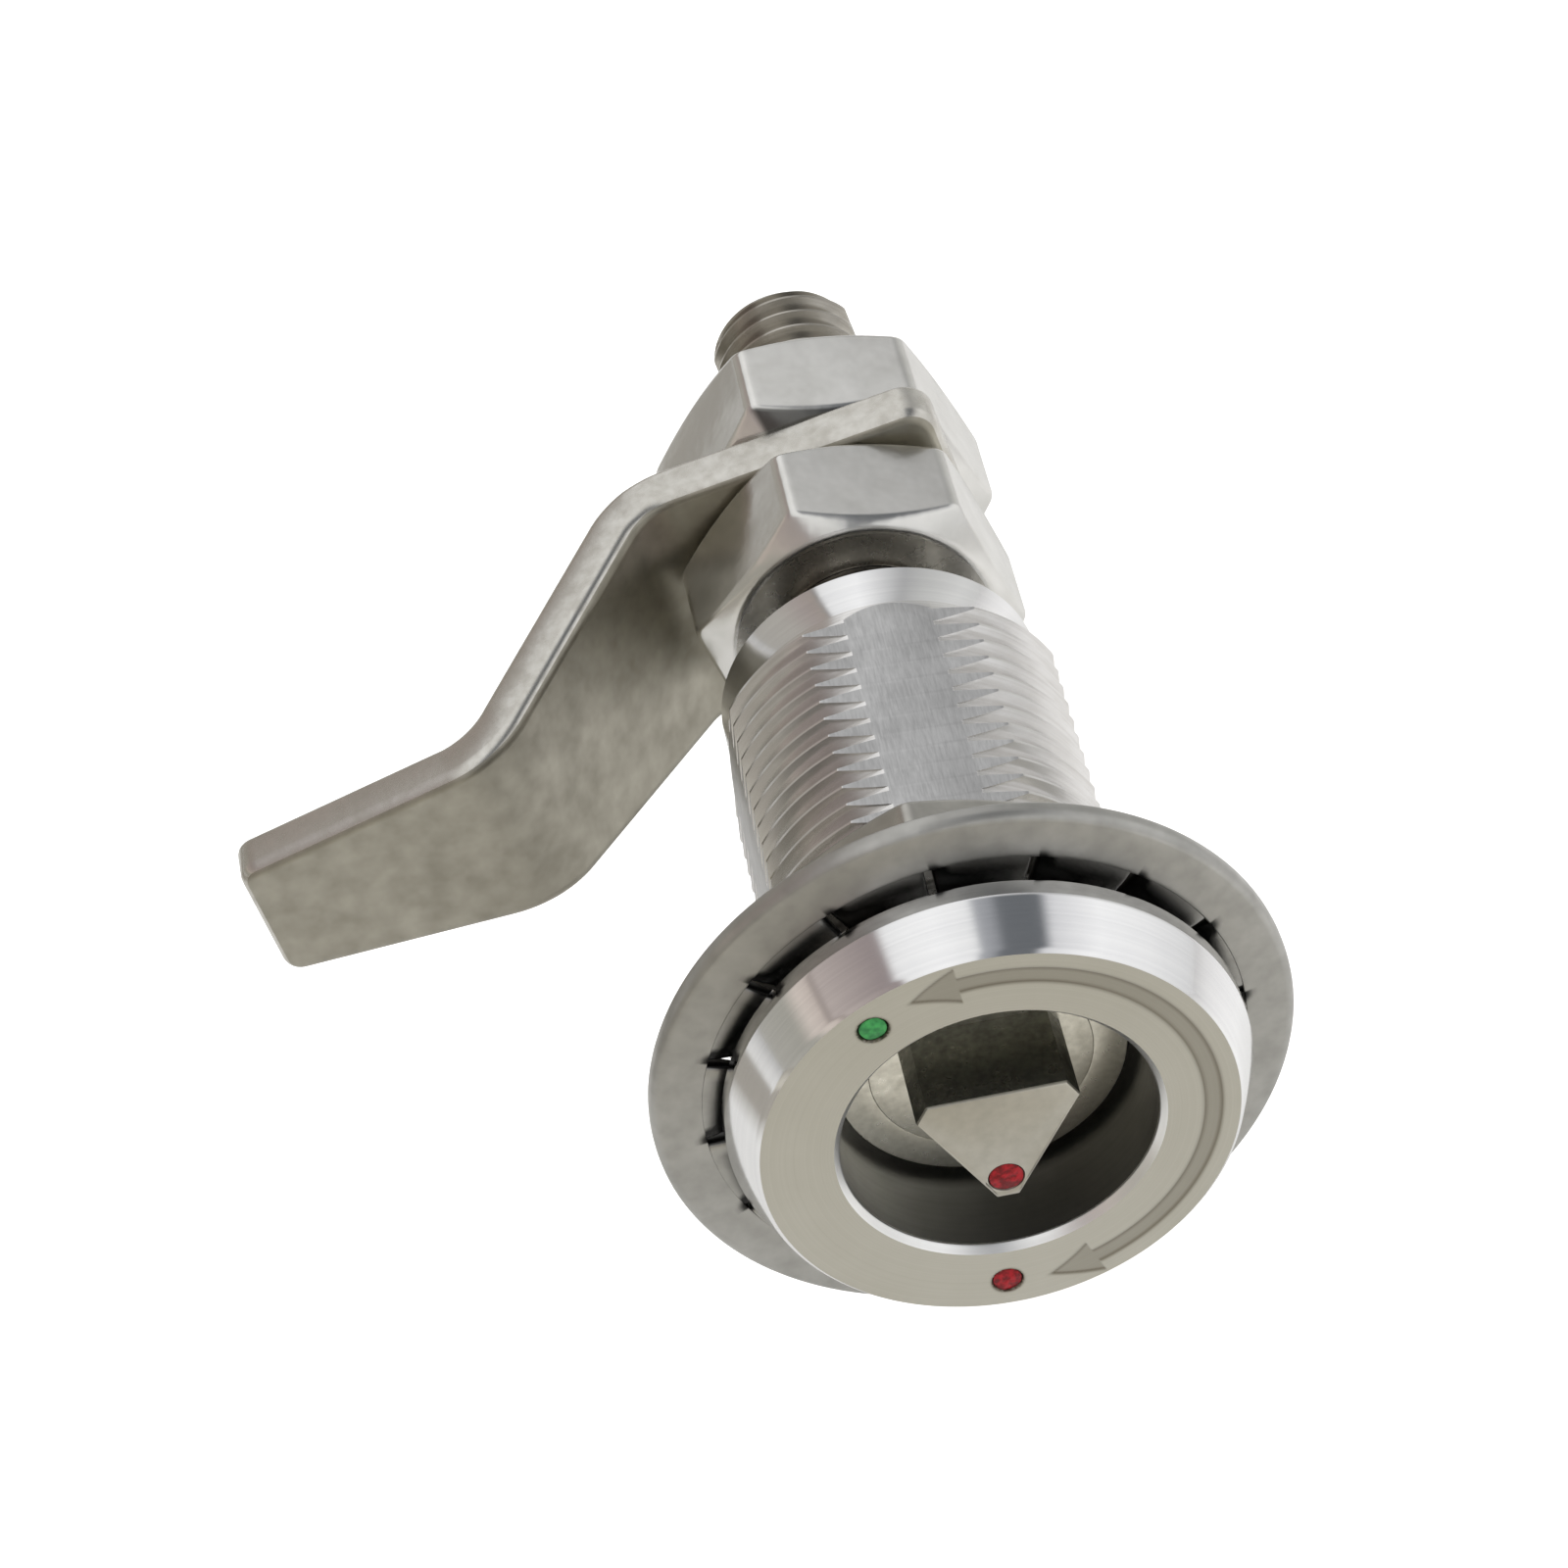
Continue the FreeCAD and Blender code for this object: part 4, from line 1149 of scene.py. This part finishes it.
@dataclass
class Cam(Piece):
    """Tapered strip with two bends, rounded along its edges."""

    name, node, slot = "cam_strip", "cam", "cam_stainless"
    finishes = (CAM_STEEL, SHEARED_STEEL)
    sharp = 40.0
    front_y: float = 47.1
    thickness: float = 3.0
    root_half: float = 8.85
    root_behind: float = 8.4
    root_corner: float = 2.0
    first_bend: float = 10.2
    offset: float = 14.8
    run: float = 12.3
    reach: float = 39.9
    tip_half: float = 4.5
    bend_r: float = 4.0
    corner_r: float = 1.2
    hole_r: float = 5.05
    hole_flat: float = 4.55
    edge: float = 0.8            # rounding of the front edges
    rear_edge: float = 0.45
    around: int = 440
    across: int = 64
    arc_points: tuple[int, int] = (12, 14)           # round a corner of the tip and of the root
    edge_points: tuple[int, int] = (6, 5)            # round the front and the rear edges

    @property
    def lean(self) -> float:
        """Return the slope of the strip between its bends, in radians."""
        return math.atan2(self.offset, self.run)

    def bent(self, along: np.ndarray, depth: np.ndarray) -> tuple[np.ndarray, np.ndarray]:
        """Carry flat strip coordinates through the two bends.

        The front surface runs straight, round an arc of the bend's radius towards the face,
        straight down the slope, round an arc one thickness wider the other way, and straight.
        A point behind the front surface lies that far along the surface's normal.

        Args:
            along: distance from the stud's middle along the front surface.
            depth: distance behind the front surface.

        Returns:
            Distance from the lock axis along the cam, and place along the axis.
        """
        lean, inner, outer = self.lean, self.bend_r, self.bend_r + self.thickness
        half = math.tan(lean / 2)
        first = self.first_bend - inner * half
        second = first + inner * lean
        third = second + math.hypot(self.run, self.offset) - (inner + outer) * half
        fourth = third + outer * lean
        turn_one = np.clip((along - first) / inner, 0, lean)
        turn_two = np.clip((along - third) / outer, 0, lean)
        straight = np.clip(along, second, third) - second
        u = (np.minimum(along, first) + inner * np.sin(turn_one) + straight * math.cos(lean)
             + outer * (math.sin(lean) - np.sin(lean - turn_two)) + np.maximum(along - fourth, 0))
        y = (inner * (np.cos(turn_one) - 1) - straight * math.sin(lean)
             + outer * (math.cos(lean) - np.cos(lean - turn_two)))
        angle = turn_one - turn_two
        return u + depth * np.sin(angle), self.front_y + y + depth * np.cos(angle)

    def outline(self) -> np.ndarray:
        """Work out the flat strip's outline, anticlockwise from the middle of its tip.

        The half width stays the same round the stud, and falls in a straight line from the first
        bend to the tip. The four corners are arcs.

        Returns:
            The points along and across the strip, evenly spaced.
        """
        lean = self.lean
        slope = math.hypot(self.run, self.offset)
        saved = (2 * self.bend_r + self.thickness) * (2 * math.tan(lean / 2) - lean)
        tip = self.reach - self.run + slope - saved
        fall = (self.root_half - self.tip_half) / (tip - self.first_bend)
        lean_in = math.atan(fall)
        radius = self.corner_r
        tip_middle = np.array([tip - radius,
                               self.tip_half + fall * radius - radius / math.cos(lean_in)])
        tip_points, root_points = self.arc_points
        tip_arc = tip_middle + radius * circle(np.linspace(0, math.pi / 2 - lean_in, tip_points))
        root_middle = np.array([self.root_corner - self.root_behind,
                                self.root_half - self.root_corner])
        root_turn = np.linspace(math.pi / 2, math.pi, root_points)
        root_arc = root_middle + self.root_corner * circle(root_turn)
        upper = np.concatenate([[[tip, 0.0]], tip_arc, [[self.first_bend, self.root_half]],
                                root_arc, [[-self.root_behind, 0.0]]])
        loop = np.concatenate([upper, upper[-2::-1] * (1, -1)])
        steps = np.linalg.norm(np.diff(loop, axis=0), axis=1)
        length = np.concatenate([[0], np.cumsum(steps)])
        wanted = np.linspace(0, length[-1], self.around, endpoint=False)
        return np.stack([np.interp(wanted, length, loop[:, k]) for k in (0, 1)], -1)

    def hole(self) -> np.ndarray:
        """Work out the hole's outline: a circle held to the two flats along the cam.

        Returns:
            The points along and across the strip.
        """
        points = circle(np.radians(round_angles(self.around)))
        limit = self.hole_flat / np.maximum(np.abs(points[:, :1]), 1e-6)
        return points * np.minimum(self.hole_r, limit)

    def shape(self) -> bpy.types.Mesh:
        """Work out the cam.

        Its grid runs from the hole out over the front, round the edge, back over the rear and
        through the hole again; every point is then carried through the bends.

        Returns:
            The mesh.
        """
        outline, hole = self.outline(), self.hole()
        ahead = np.roll(outline, -1, axis=0) - np.roll(outline, 1, axis=0)
        inward = np.stack([-ahead[:, 1], ahead[:, 0]], -1)
        inward /= np.linalg.norm(inward, axis=1, keepdims=True)
        share = np.linspace(0, 1, self.across)
        front, rear = self.edge, self.rear_edge
        front_turns, rear_turns = (np.linspace(0, math.pi / 2, count) for count in self.edge_points)
        rows = [(hole * (1 - part) + (outline + inward * front) * part, 0.0) for part in share]
        rows += [(outline + inward * front * (1 - math.sin(turn)), front * (1 - math.cos(turn)))
                 for turn in front_turns[1:]]
        rows += [(outline + inward * rear * (1 - math.cos(turn)),
                  self.thickness - rear * (1 - math.sin(turn))) for turn in rear_turns]
        rows += [(hole * (1 - part) + (outline + inward * rear) * part, self.thickness)
                 for part in share[-2::-1]]
        strip = np.stack([row for row, _ in rows])
        u, y = self.bent(strip[..., 0], np.array([depth for _, depth in rows])[:, None])
        flat, sheared = 0, 1
        edge_bands = len(rows) - 2 * self.across - 1
        bands = [flat] * (self.across + 1) + [sheared] * edge_bands + [flat] * self.across
        patch = Patch(laid(u, y, -strip[..., 1], CAM_ANGLE), bands, True)
        return build_mesh(self.name, [patch])


@dataclass
class Spindle(Piece):
    """Drawbar with a nose, a cross hole, two flats and an M10 threaded end."""

    name, node, slot = "threaded_spindle", "spindle", "stud_stainless"
    finishes = (STUD_STEEL,)
    thread: Thread
    nose_r: float = 3.2
    nose_y: float = 8.0
    nose_break: float = 0.3
    shoulder_y: float = 13.5
    front_r: float = 4.8
    flat_y: float = 19.8
    step_y: float = 26.7
    neck_r: float = 4.95
    end_y: float = 69.0
    end_below: float = 0.05      # how far the end's bevel starts below the thread's root
    flat: float = 4.5
    pin_y: float = 15.5
    pin_hole_r: float = 1.52
    columns: int = 181

    def shape(self) -> bpy.types.Mesh:
        """Work out the spindle.

        Its radius is the least of the turned shape's, the thread's and the two flats', which is
        the flat's distance over the cosine of the turn from it. A cylinder cuts the cross hole.

        Returns:
            The mesh.
        """
        angles, columns = np.linspace(0, WHOLE_TURN, self.columns), self.columns
        nose, front = self.nose_r, self.front_r
        round_part = spread([(0.0, self.nose_y), (nose - self.nose_break, self.nose_y),
                             (nose, self.nose_y + self.nose_break), (nose, self.shoulder_y),
                             (front, self.shoulder_y), (front, self.flat_y)], columns)
        keyed = np.concatenate([
            spread([(front, self.flat_y), (front, self.step_y), (self.neck_r, self.step_y),
                    (self.neck_r, self.thread.start)], columns),
            self.thread.rows(angles),
            spread([(self.thread.crest, self.end_y), (0.0, self.end_y)], columns)])
        taper = self.thread.root - self.end_below + np.maximum(self.end_y - keyed[..., 1], 0)
        away = np.abs(np.cos(np.radians(angles - CAM_ANGLE)))
        limit = self.flat / np.maximum(away, 1e-6)
        keyed[..., 0] = np.minimum(np.minimum(keyed[..., 0], taper), limit[None, :])
        grid = turned(np.concatenate([round_part, keyed]), angles)
        mesh = build_mesh(self.name, [Patch(grid, join_columns=False)])
        self.bore(mesh)
        return mesh

    def bore(self, mesh: bpy.types.Mesh) -> None:
        """Cut the cross hole with a cylinder.

        Args:
            mesh: the spindle's mesh, which the cut one takes the place of.
        """
        aim = outward(CAM_ANGLE).to_track_quat("Z", "Y").to_matrix().to_4x4()
        work = bmesh.new()
        bmesh.ops.create_cone(work, cap_ends=True, segments=48, radius1=self.pin_hole_r * MM,
                              radius2=self.pin_hole_r * MM, depth=4 * self.front_r * MM,
                              matrix=Matrix.Translation((0, self.pin_y * MM, 0)) @ aim)
        drill_mesh = bpy.data.meshes.new("drill")
        work.to_mesh(drill_mesh)
        drill, bar = add_object("drill", drill_mesh), add_object("bar", mesh)
        cut = bar.modifiers.new("cross_hole", "BOOLEAN")
        cut.operation, cut.solver, cut.object = "DIFFERENCE", "EXACT", drill
        graph = bpy.context.evaluated_depsgraph_get()
        result = bpy.data.meshes.new_from_object(bar.evaluated_get(graph))
        work.clear()
        work.from_mesh(result)
        work.to_mesh(mesh)
        work.free()
        bpy.data.objects.remove(bar)
        for old in (drill_mesh, result):
            bpy.data.meshes.remove(old)


@dataclass(frozen=True)
class Viewpoint:
    """The photograph's camera: where it stands, how it looks, and its long lens."""

    place: tuple[float, float, float] = (-36.85, -230.6, 231.7)
    forward: tuple[float, float, float] = (0.0858, 0.741, -0.6666)
    up: tuple[float, float, float] = (0.149, 0.652, 0.7439)
    lens: float = 135.0
    sensor: float = 36.0
    clip_metres: tuple[float, float] = (0.01, 20.0)

    def build(self) -> None:
        """Place the camera and make it the scene's."""
        data = bpy.data.cameras.new("camera")
        data.lens, data.sensor_width, data.sensor_fit = self.lens, self.sensor, "HORIZONTAL"
        data.clip_start, data.clip_end = self.clip_metres
        camera = add_object("camera", data)
        back = -Vector(self.forward).normalized()
        right = Vector(self.up).cross(back).normalized()
        turn = Matrix((right, back.cross(right), back)).transposed().to_4x4()
        camera.matrix_world = Matrix.Translation(Vector(self.place) * MM) @ turn
        bpy.context.scene.camera = camera


@dataclass
class Studio:
    """Pale room that the steel mirrors, white floor and soft light from above.

    The floor lies low enough for the cam to swing down over it.
    """

    strength: float = 1.1
    low_room: float = 0.26       # lengthways part of a direction up to which the room is the low one
    back_room: float = 0.6       # and from which it is the back one
    floor_z: float = -41.0
    floor_half: float = 900.0
    glow: float = 0.62           # what the camera sees on top of the floor's own light
    near_y: tuple[float, float] = (-72.0, -20.0)     # where the floor's front passes into its middle
    strip_x: float = -155.0
    strip_edge: tuple[float, float] = (80.0, 45.0)   # from the strip's middle: its edge, and full
    right_x: tuple[float, float] = (30.0, 80.0)      # where the plain paper on the right begins

    def build(self) -> None:
        """Set the world, floor and lamps."""
        self.build_world()
        self.build_floor()
        self.lamp("overhead_box", place=(-50, -70, 420), aim=(0, 0, 0), size=320, power=1.1)
        self.lamp("left_box", place=(-380, -160, 260), aim=(0, 20, 0), size=260, power=0.25)

    def bands(self, tree: bpy.types.NodeTree, share: bpy.types.NodeSocket,
              stops: Sequence[tuple[float, str]]) -> bpy.types.NodeSocket:
        """Colour a direction by its turn about the lock axis.

        Args:
            tree: the world's node tree.
            share: the turn as a share of a whole turn, with straight up at a half.
            stops: degrees from straight up towards +X, and the colour there.

        Returns:
            The colour.
        """
        ramp = add_node(tree, "ValToRGB", {0: share})
        elements = ramp.color_ramp.elements
        while len(elements) < len(stops):
            elements.new(0.5)
        for element, (degrees, colour) in zip(elements, stops):
            element.position = (degrees + 180) / WHOLE_TURN
            element.color = linear(colour)
        return ramp.outputs[0]

    def build_world(self) -> None:
        """Light from a pale room.

        Low down it has a brownish wall on the left, a white ceiling strip, a grey gap and a white
        right side that dims towards the floor. Towards the back the strip fades into a mid-grey
        right side. The two are blended by the direction's lengthways part. The camera sees plain
        white.
        """
        world = bpy.data.worlds.new("studio")
        world.use_nodes = True
        bpy.context.scene.world = world
        tree = world.node_tree
        tree.nodes.clear()
        parts = add_node(tree, "SeparateXYZ", {0: add_node(tree, "TexCoord").outputs["Generated"]})
        turn = add_node(tree, "Math", {0: parts.outputs[0], 1: parts.outputs[2]},
                        operation="ARCTAN2")
        share = add_node(tree, "MapRange", {"Value": turn.outputs[0], "From Min": -math.pi,
                                            "From Max": math.pi}).outputs[0]
        low = self.bands(tree, share, [
            (-180, "#B4B4B2"), (-100, "#B2AFA8"), (-78, "#A5A39A"), (-72, "#D4C9C0"),
            (-66, "#C8BCB4"), (-64, "#8A807B"), (-62, "#B9AEA9"), (-35, "#938887"),
            (-32, "#F2F2F2"), (-14, "#FFFFFF"), (1, "#F4F4F4"), (3, "#A8AAAE"), (9, "#9A9CA0"),
            (12, "#6C6F73"), (27, "#686B6F"), (31, "#DCDCDE"), (50, "#FFFFFF"), (70, "#F4F4F4"),
            (96, "#DCDCDC"), (124, "#B8B8B8")])
        back = self.bands(tree, share, [
            (-180, "#A6A4A0"), (-110, "#ACA9A3"), (-70, "#B0ACA5"), (-50, "#A79D98"),
            (-39, "#A1978F"), (-37, "#6E6A66"), (-34, "#EFEFEF"), (-5, "#FFFFFF"), (4, "#F0F0F0"),
            (32, "#B0B0B0"), (50, "#C4C4C2"), (62, "#CCCCCA"), (80, "#DADAD8"), (120, "#BEBEBC")])
        rise = add_node(tree, "MapRange", {"Value": parts.outputs[1], "From Min": self.low_room,
                                           "From Max": self.back_room})
        room = add_node(tree, "Mix", {"Factor": rise.outputs[0], 6: low, 7: back}, data_type="RGBA")
        light = add_node(tree, "Background", {"Color": room.outputs[2], "Strength": self.strength})
        white = add_node(tree, "Background", {"Color": (1, 1, 1, 1), "Strength": 1.0})
        seen = add_node(tree, "LightPath").outputs["Is Camera Ray"]
        mixed = add_node(tree, "MixShader", {0: seen, 1: light.outputs[0], 2: white.outputs[0]})
        add_node(tree, "OutputWorld", {"Surface": mixed.outputs[0]})

    def floor_colour(self, tree: bpy.types.NodeTree,
                     glossy: bpy.types.NodeSocket) -> bpy.types.NodeSocket:
        """Colour the floor as the steel mirrors it.

        It is pale grey, warmer and darker towards the front, with the plain paper on the right.
        Glossy rays alone see a darker strip far out on the left.

        Args:
            tree: the floor's node tree.
            glossy: whether a ray is a glossy one.

        Returns:
            The colour.
        """
        place = add_node(tree, "SeparateXYZ", {0: add_node(tree, "TexCoord").outputs["Object"]})
        away = add_node(tree, "Math", {0: place.outputs[0], 1: -self.strip_x * MM}, operation="ADD")
        gap = add_node(tree, "Math", {0: away.outputs[0]}, operation="ABSOLUTE")
        colour = linear("#C4C0B5")
        for measured, (start, full), seen, laid_over in (
                (place.outputs[1], self.near_y, 1.0, "#E2E2E0"),
                (gap.outputs[0], self.strip_edge, glossy, "#A19D95"),
                (place.outputs[0], self.right_x, 1.0, "#FBFBFA")):
            share = add_node(tree, "MapRange", {"Value": measured, "From Min": start * MM,
                                                "From Max": full * MM})
            part = add_node(tree, "Math", {0: share.outputs[0], 1: seen}, operation="MULTIPLY")
            colour = add_node(tree, "Mix", {"Factor": part.outputs[0], 6: colour,
                                            7: linear(laid_over)}, data_type="RGBA").outputs[2]
        return colour

    def build_floor(self) -> None:
        """Lay the floor under the latch, which the camera sees white."""
        side = self.floor_half * MM
        mesh = bpy.data.meshes.new("floor")
        corners = [(-side, -side, 0), (side, -side, 0), (side, side, 0), (-side, side, 0)]
        mesh.from_pydata(corners, [], [(0, 1, 2, 3)])
        mesh.transform(Matrix.Translation((0, 0, self.floor_z * MM)))
        made = bpy.data.materials.new("white_paper_sweep")
        made.use_nodes = True
        tree = made.node_tree
        tree.nodes.clear()
        path = add_node(tree, "LightPath").outputs
        glow = add_node(tree, "Math", {0: path["Is Camera Ray"], 1: self.glow}, operation="MULTIPLY")
        light = add_node(tree, "Emission", {"Color": (1, 1, 1, 1), "Strength": glow.outputs[0]})
        paper = add_node(tree, "BsdfDiffuse",
                         {"Color": self.floor_colour(tree, path["Is Glossy Ray"])})
        both = add_node(tree, "AddShader", {0: light.outputs[0], 1: paper.outputs[0]})
        add_node(tree, "OutputMaterial", {"Surface": both.outputs[0]})
        mesh.materials.append(made)
        floor = add_object("floor", mesh)

    def lamp(self, name: str, place: Sequence[float], aim: Sequence[float], size: float,
             power: float) -> None:
        """Hang a square soft box that faces the latch.

        Args:
            name: name of the lamp.
            place: where it hangs.
            aim: the point that it faces.
            size: side of the square.
            power: in watts.
        """
        data = bpy.data.lights.new(name, "AREA")
        data.size, data.energy = size * MM, power
        lamp = add_object(name, data)
        spot, target = Vector(place) * MM, Vector(aim) * MM
        turn = (spot - target).to_track_quat("Z", "Y").to_matrix().to_4x4()
        lamp.visible_glossy = False
        lamp.matrix_world = Matrix.Translation(spot) @ turn


def dress_hidden_nodes() -> None:
    """Give the carried-over inner pieces their own finishes."""
    finishes = {
        "driver_clip": SPRING_STEEL, "compression_spring": SPRING_STEEL, "spring_seat": SPRING_STEEL,
        "cross_pin": SPRING_STEEL, "rear_clip": SPRING_STEEL, "stop_ring": FORGED,
        "rear_bush": FORGED, "driver_seal": RUBBER, "thrust_washer": ACETAL,
    }
    for node, finish in finishes.items():
        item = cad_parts[node]
        item.data.materials.clear()
        item.data.materials.append(finish.material())
        LOG.info("%s keeps its solid", node)


def main() -> None:
    """Build every piece of the latch and its studio."""
    logging.basicConfig(level=logging.INFO, format="%(message)s")
    fixed, moving, key = "lock_body", "draw_spindle", "key_driver"
    flange = Flange()
    flange.build(fixed)
    ThreadedBody(Thread(crest=11.0, start=1.0, end=29.5)).build(fixed)
    ring, (red_turn, green_turn) = flange.dimple_ring, flange.dimple_angles
    PaintDot("face_red_dot", "face_red_mark", "red_paint", (RED_PAINT,), ring, red_turn,
             radius=0.82).build(fixed)
    PaintDot("face_green_dot", "face_green_mark", "green_paint", (GREEN_PAINT,), ring, green_turn,
             radius=0.77).build(fixed)
    PaintDot("driver_red_dot", "driver_red_mark", "red_paint", (RED_PAINT,), ring=3.46,
             angle=183.0, radius=0.97).build(key)
    # The driver's sides get the darker side finish, which is painted shade.
    SoftenedCopy("milled_driver", "driver", "driver_stainless",
                 (DRIVER_STEEL, DRIVER_SIDE_SHADE, WORN_STEEL), front_of=1.55, bevel=0.2).build(key)
    FloorRing().build(key)
    ToothWasher().build(fixed)
    HexNut("forged_panel_nut", "panel_nut", vertex_angle=10.5, start_y=3.4, across_flats=27.0,
           height=5.5, bore_r=11.02, finishes=(TURNED_NUT, SCALED)).build(fixed)
    HexNut("forged_front_nut", "front_cam_nut", vertex_angle=22.5, start_y=39.1).build(moving)
    HexNut("forged_rear_nut", "rear_cam_nut", vertex_angle=26.6, start_y=50.1,
           dark_bevel_angles=(-19.0, 28.0)).build(moving)
    Cam().build(moving)
    Spindle(Thread(crest=5.0, start=38.0, end=69.0)).build(moving)
    dress_hidden_nodes()
    Viewpoint().build()
    Studio().build()
    bpy.context.scene.view_settings.view_transform = "Standard"


if __name__ == "__main__":
    main()
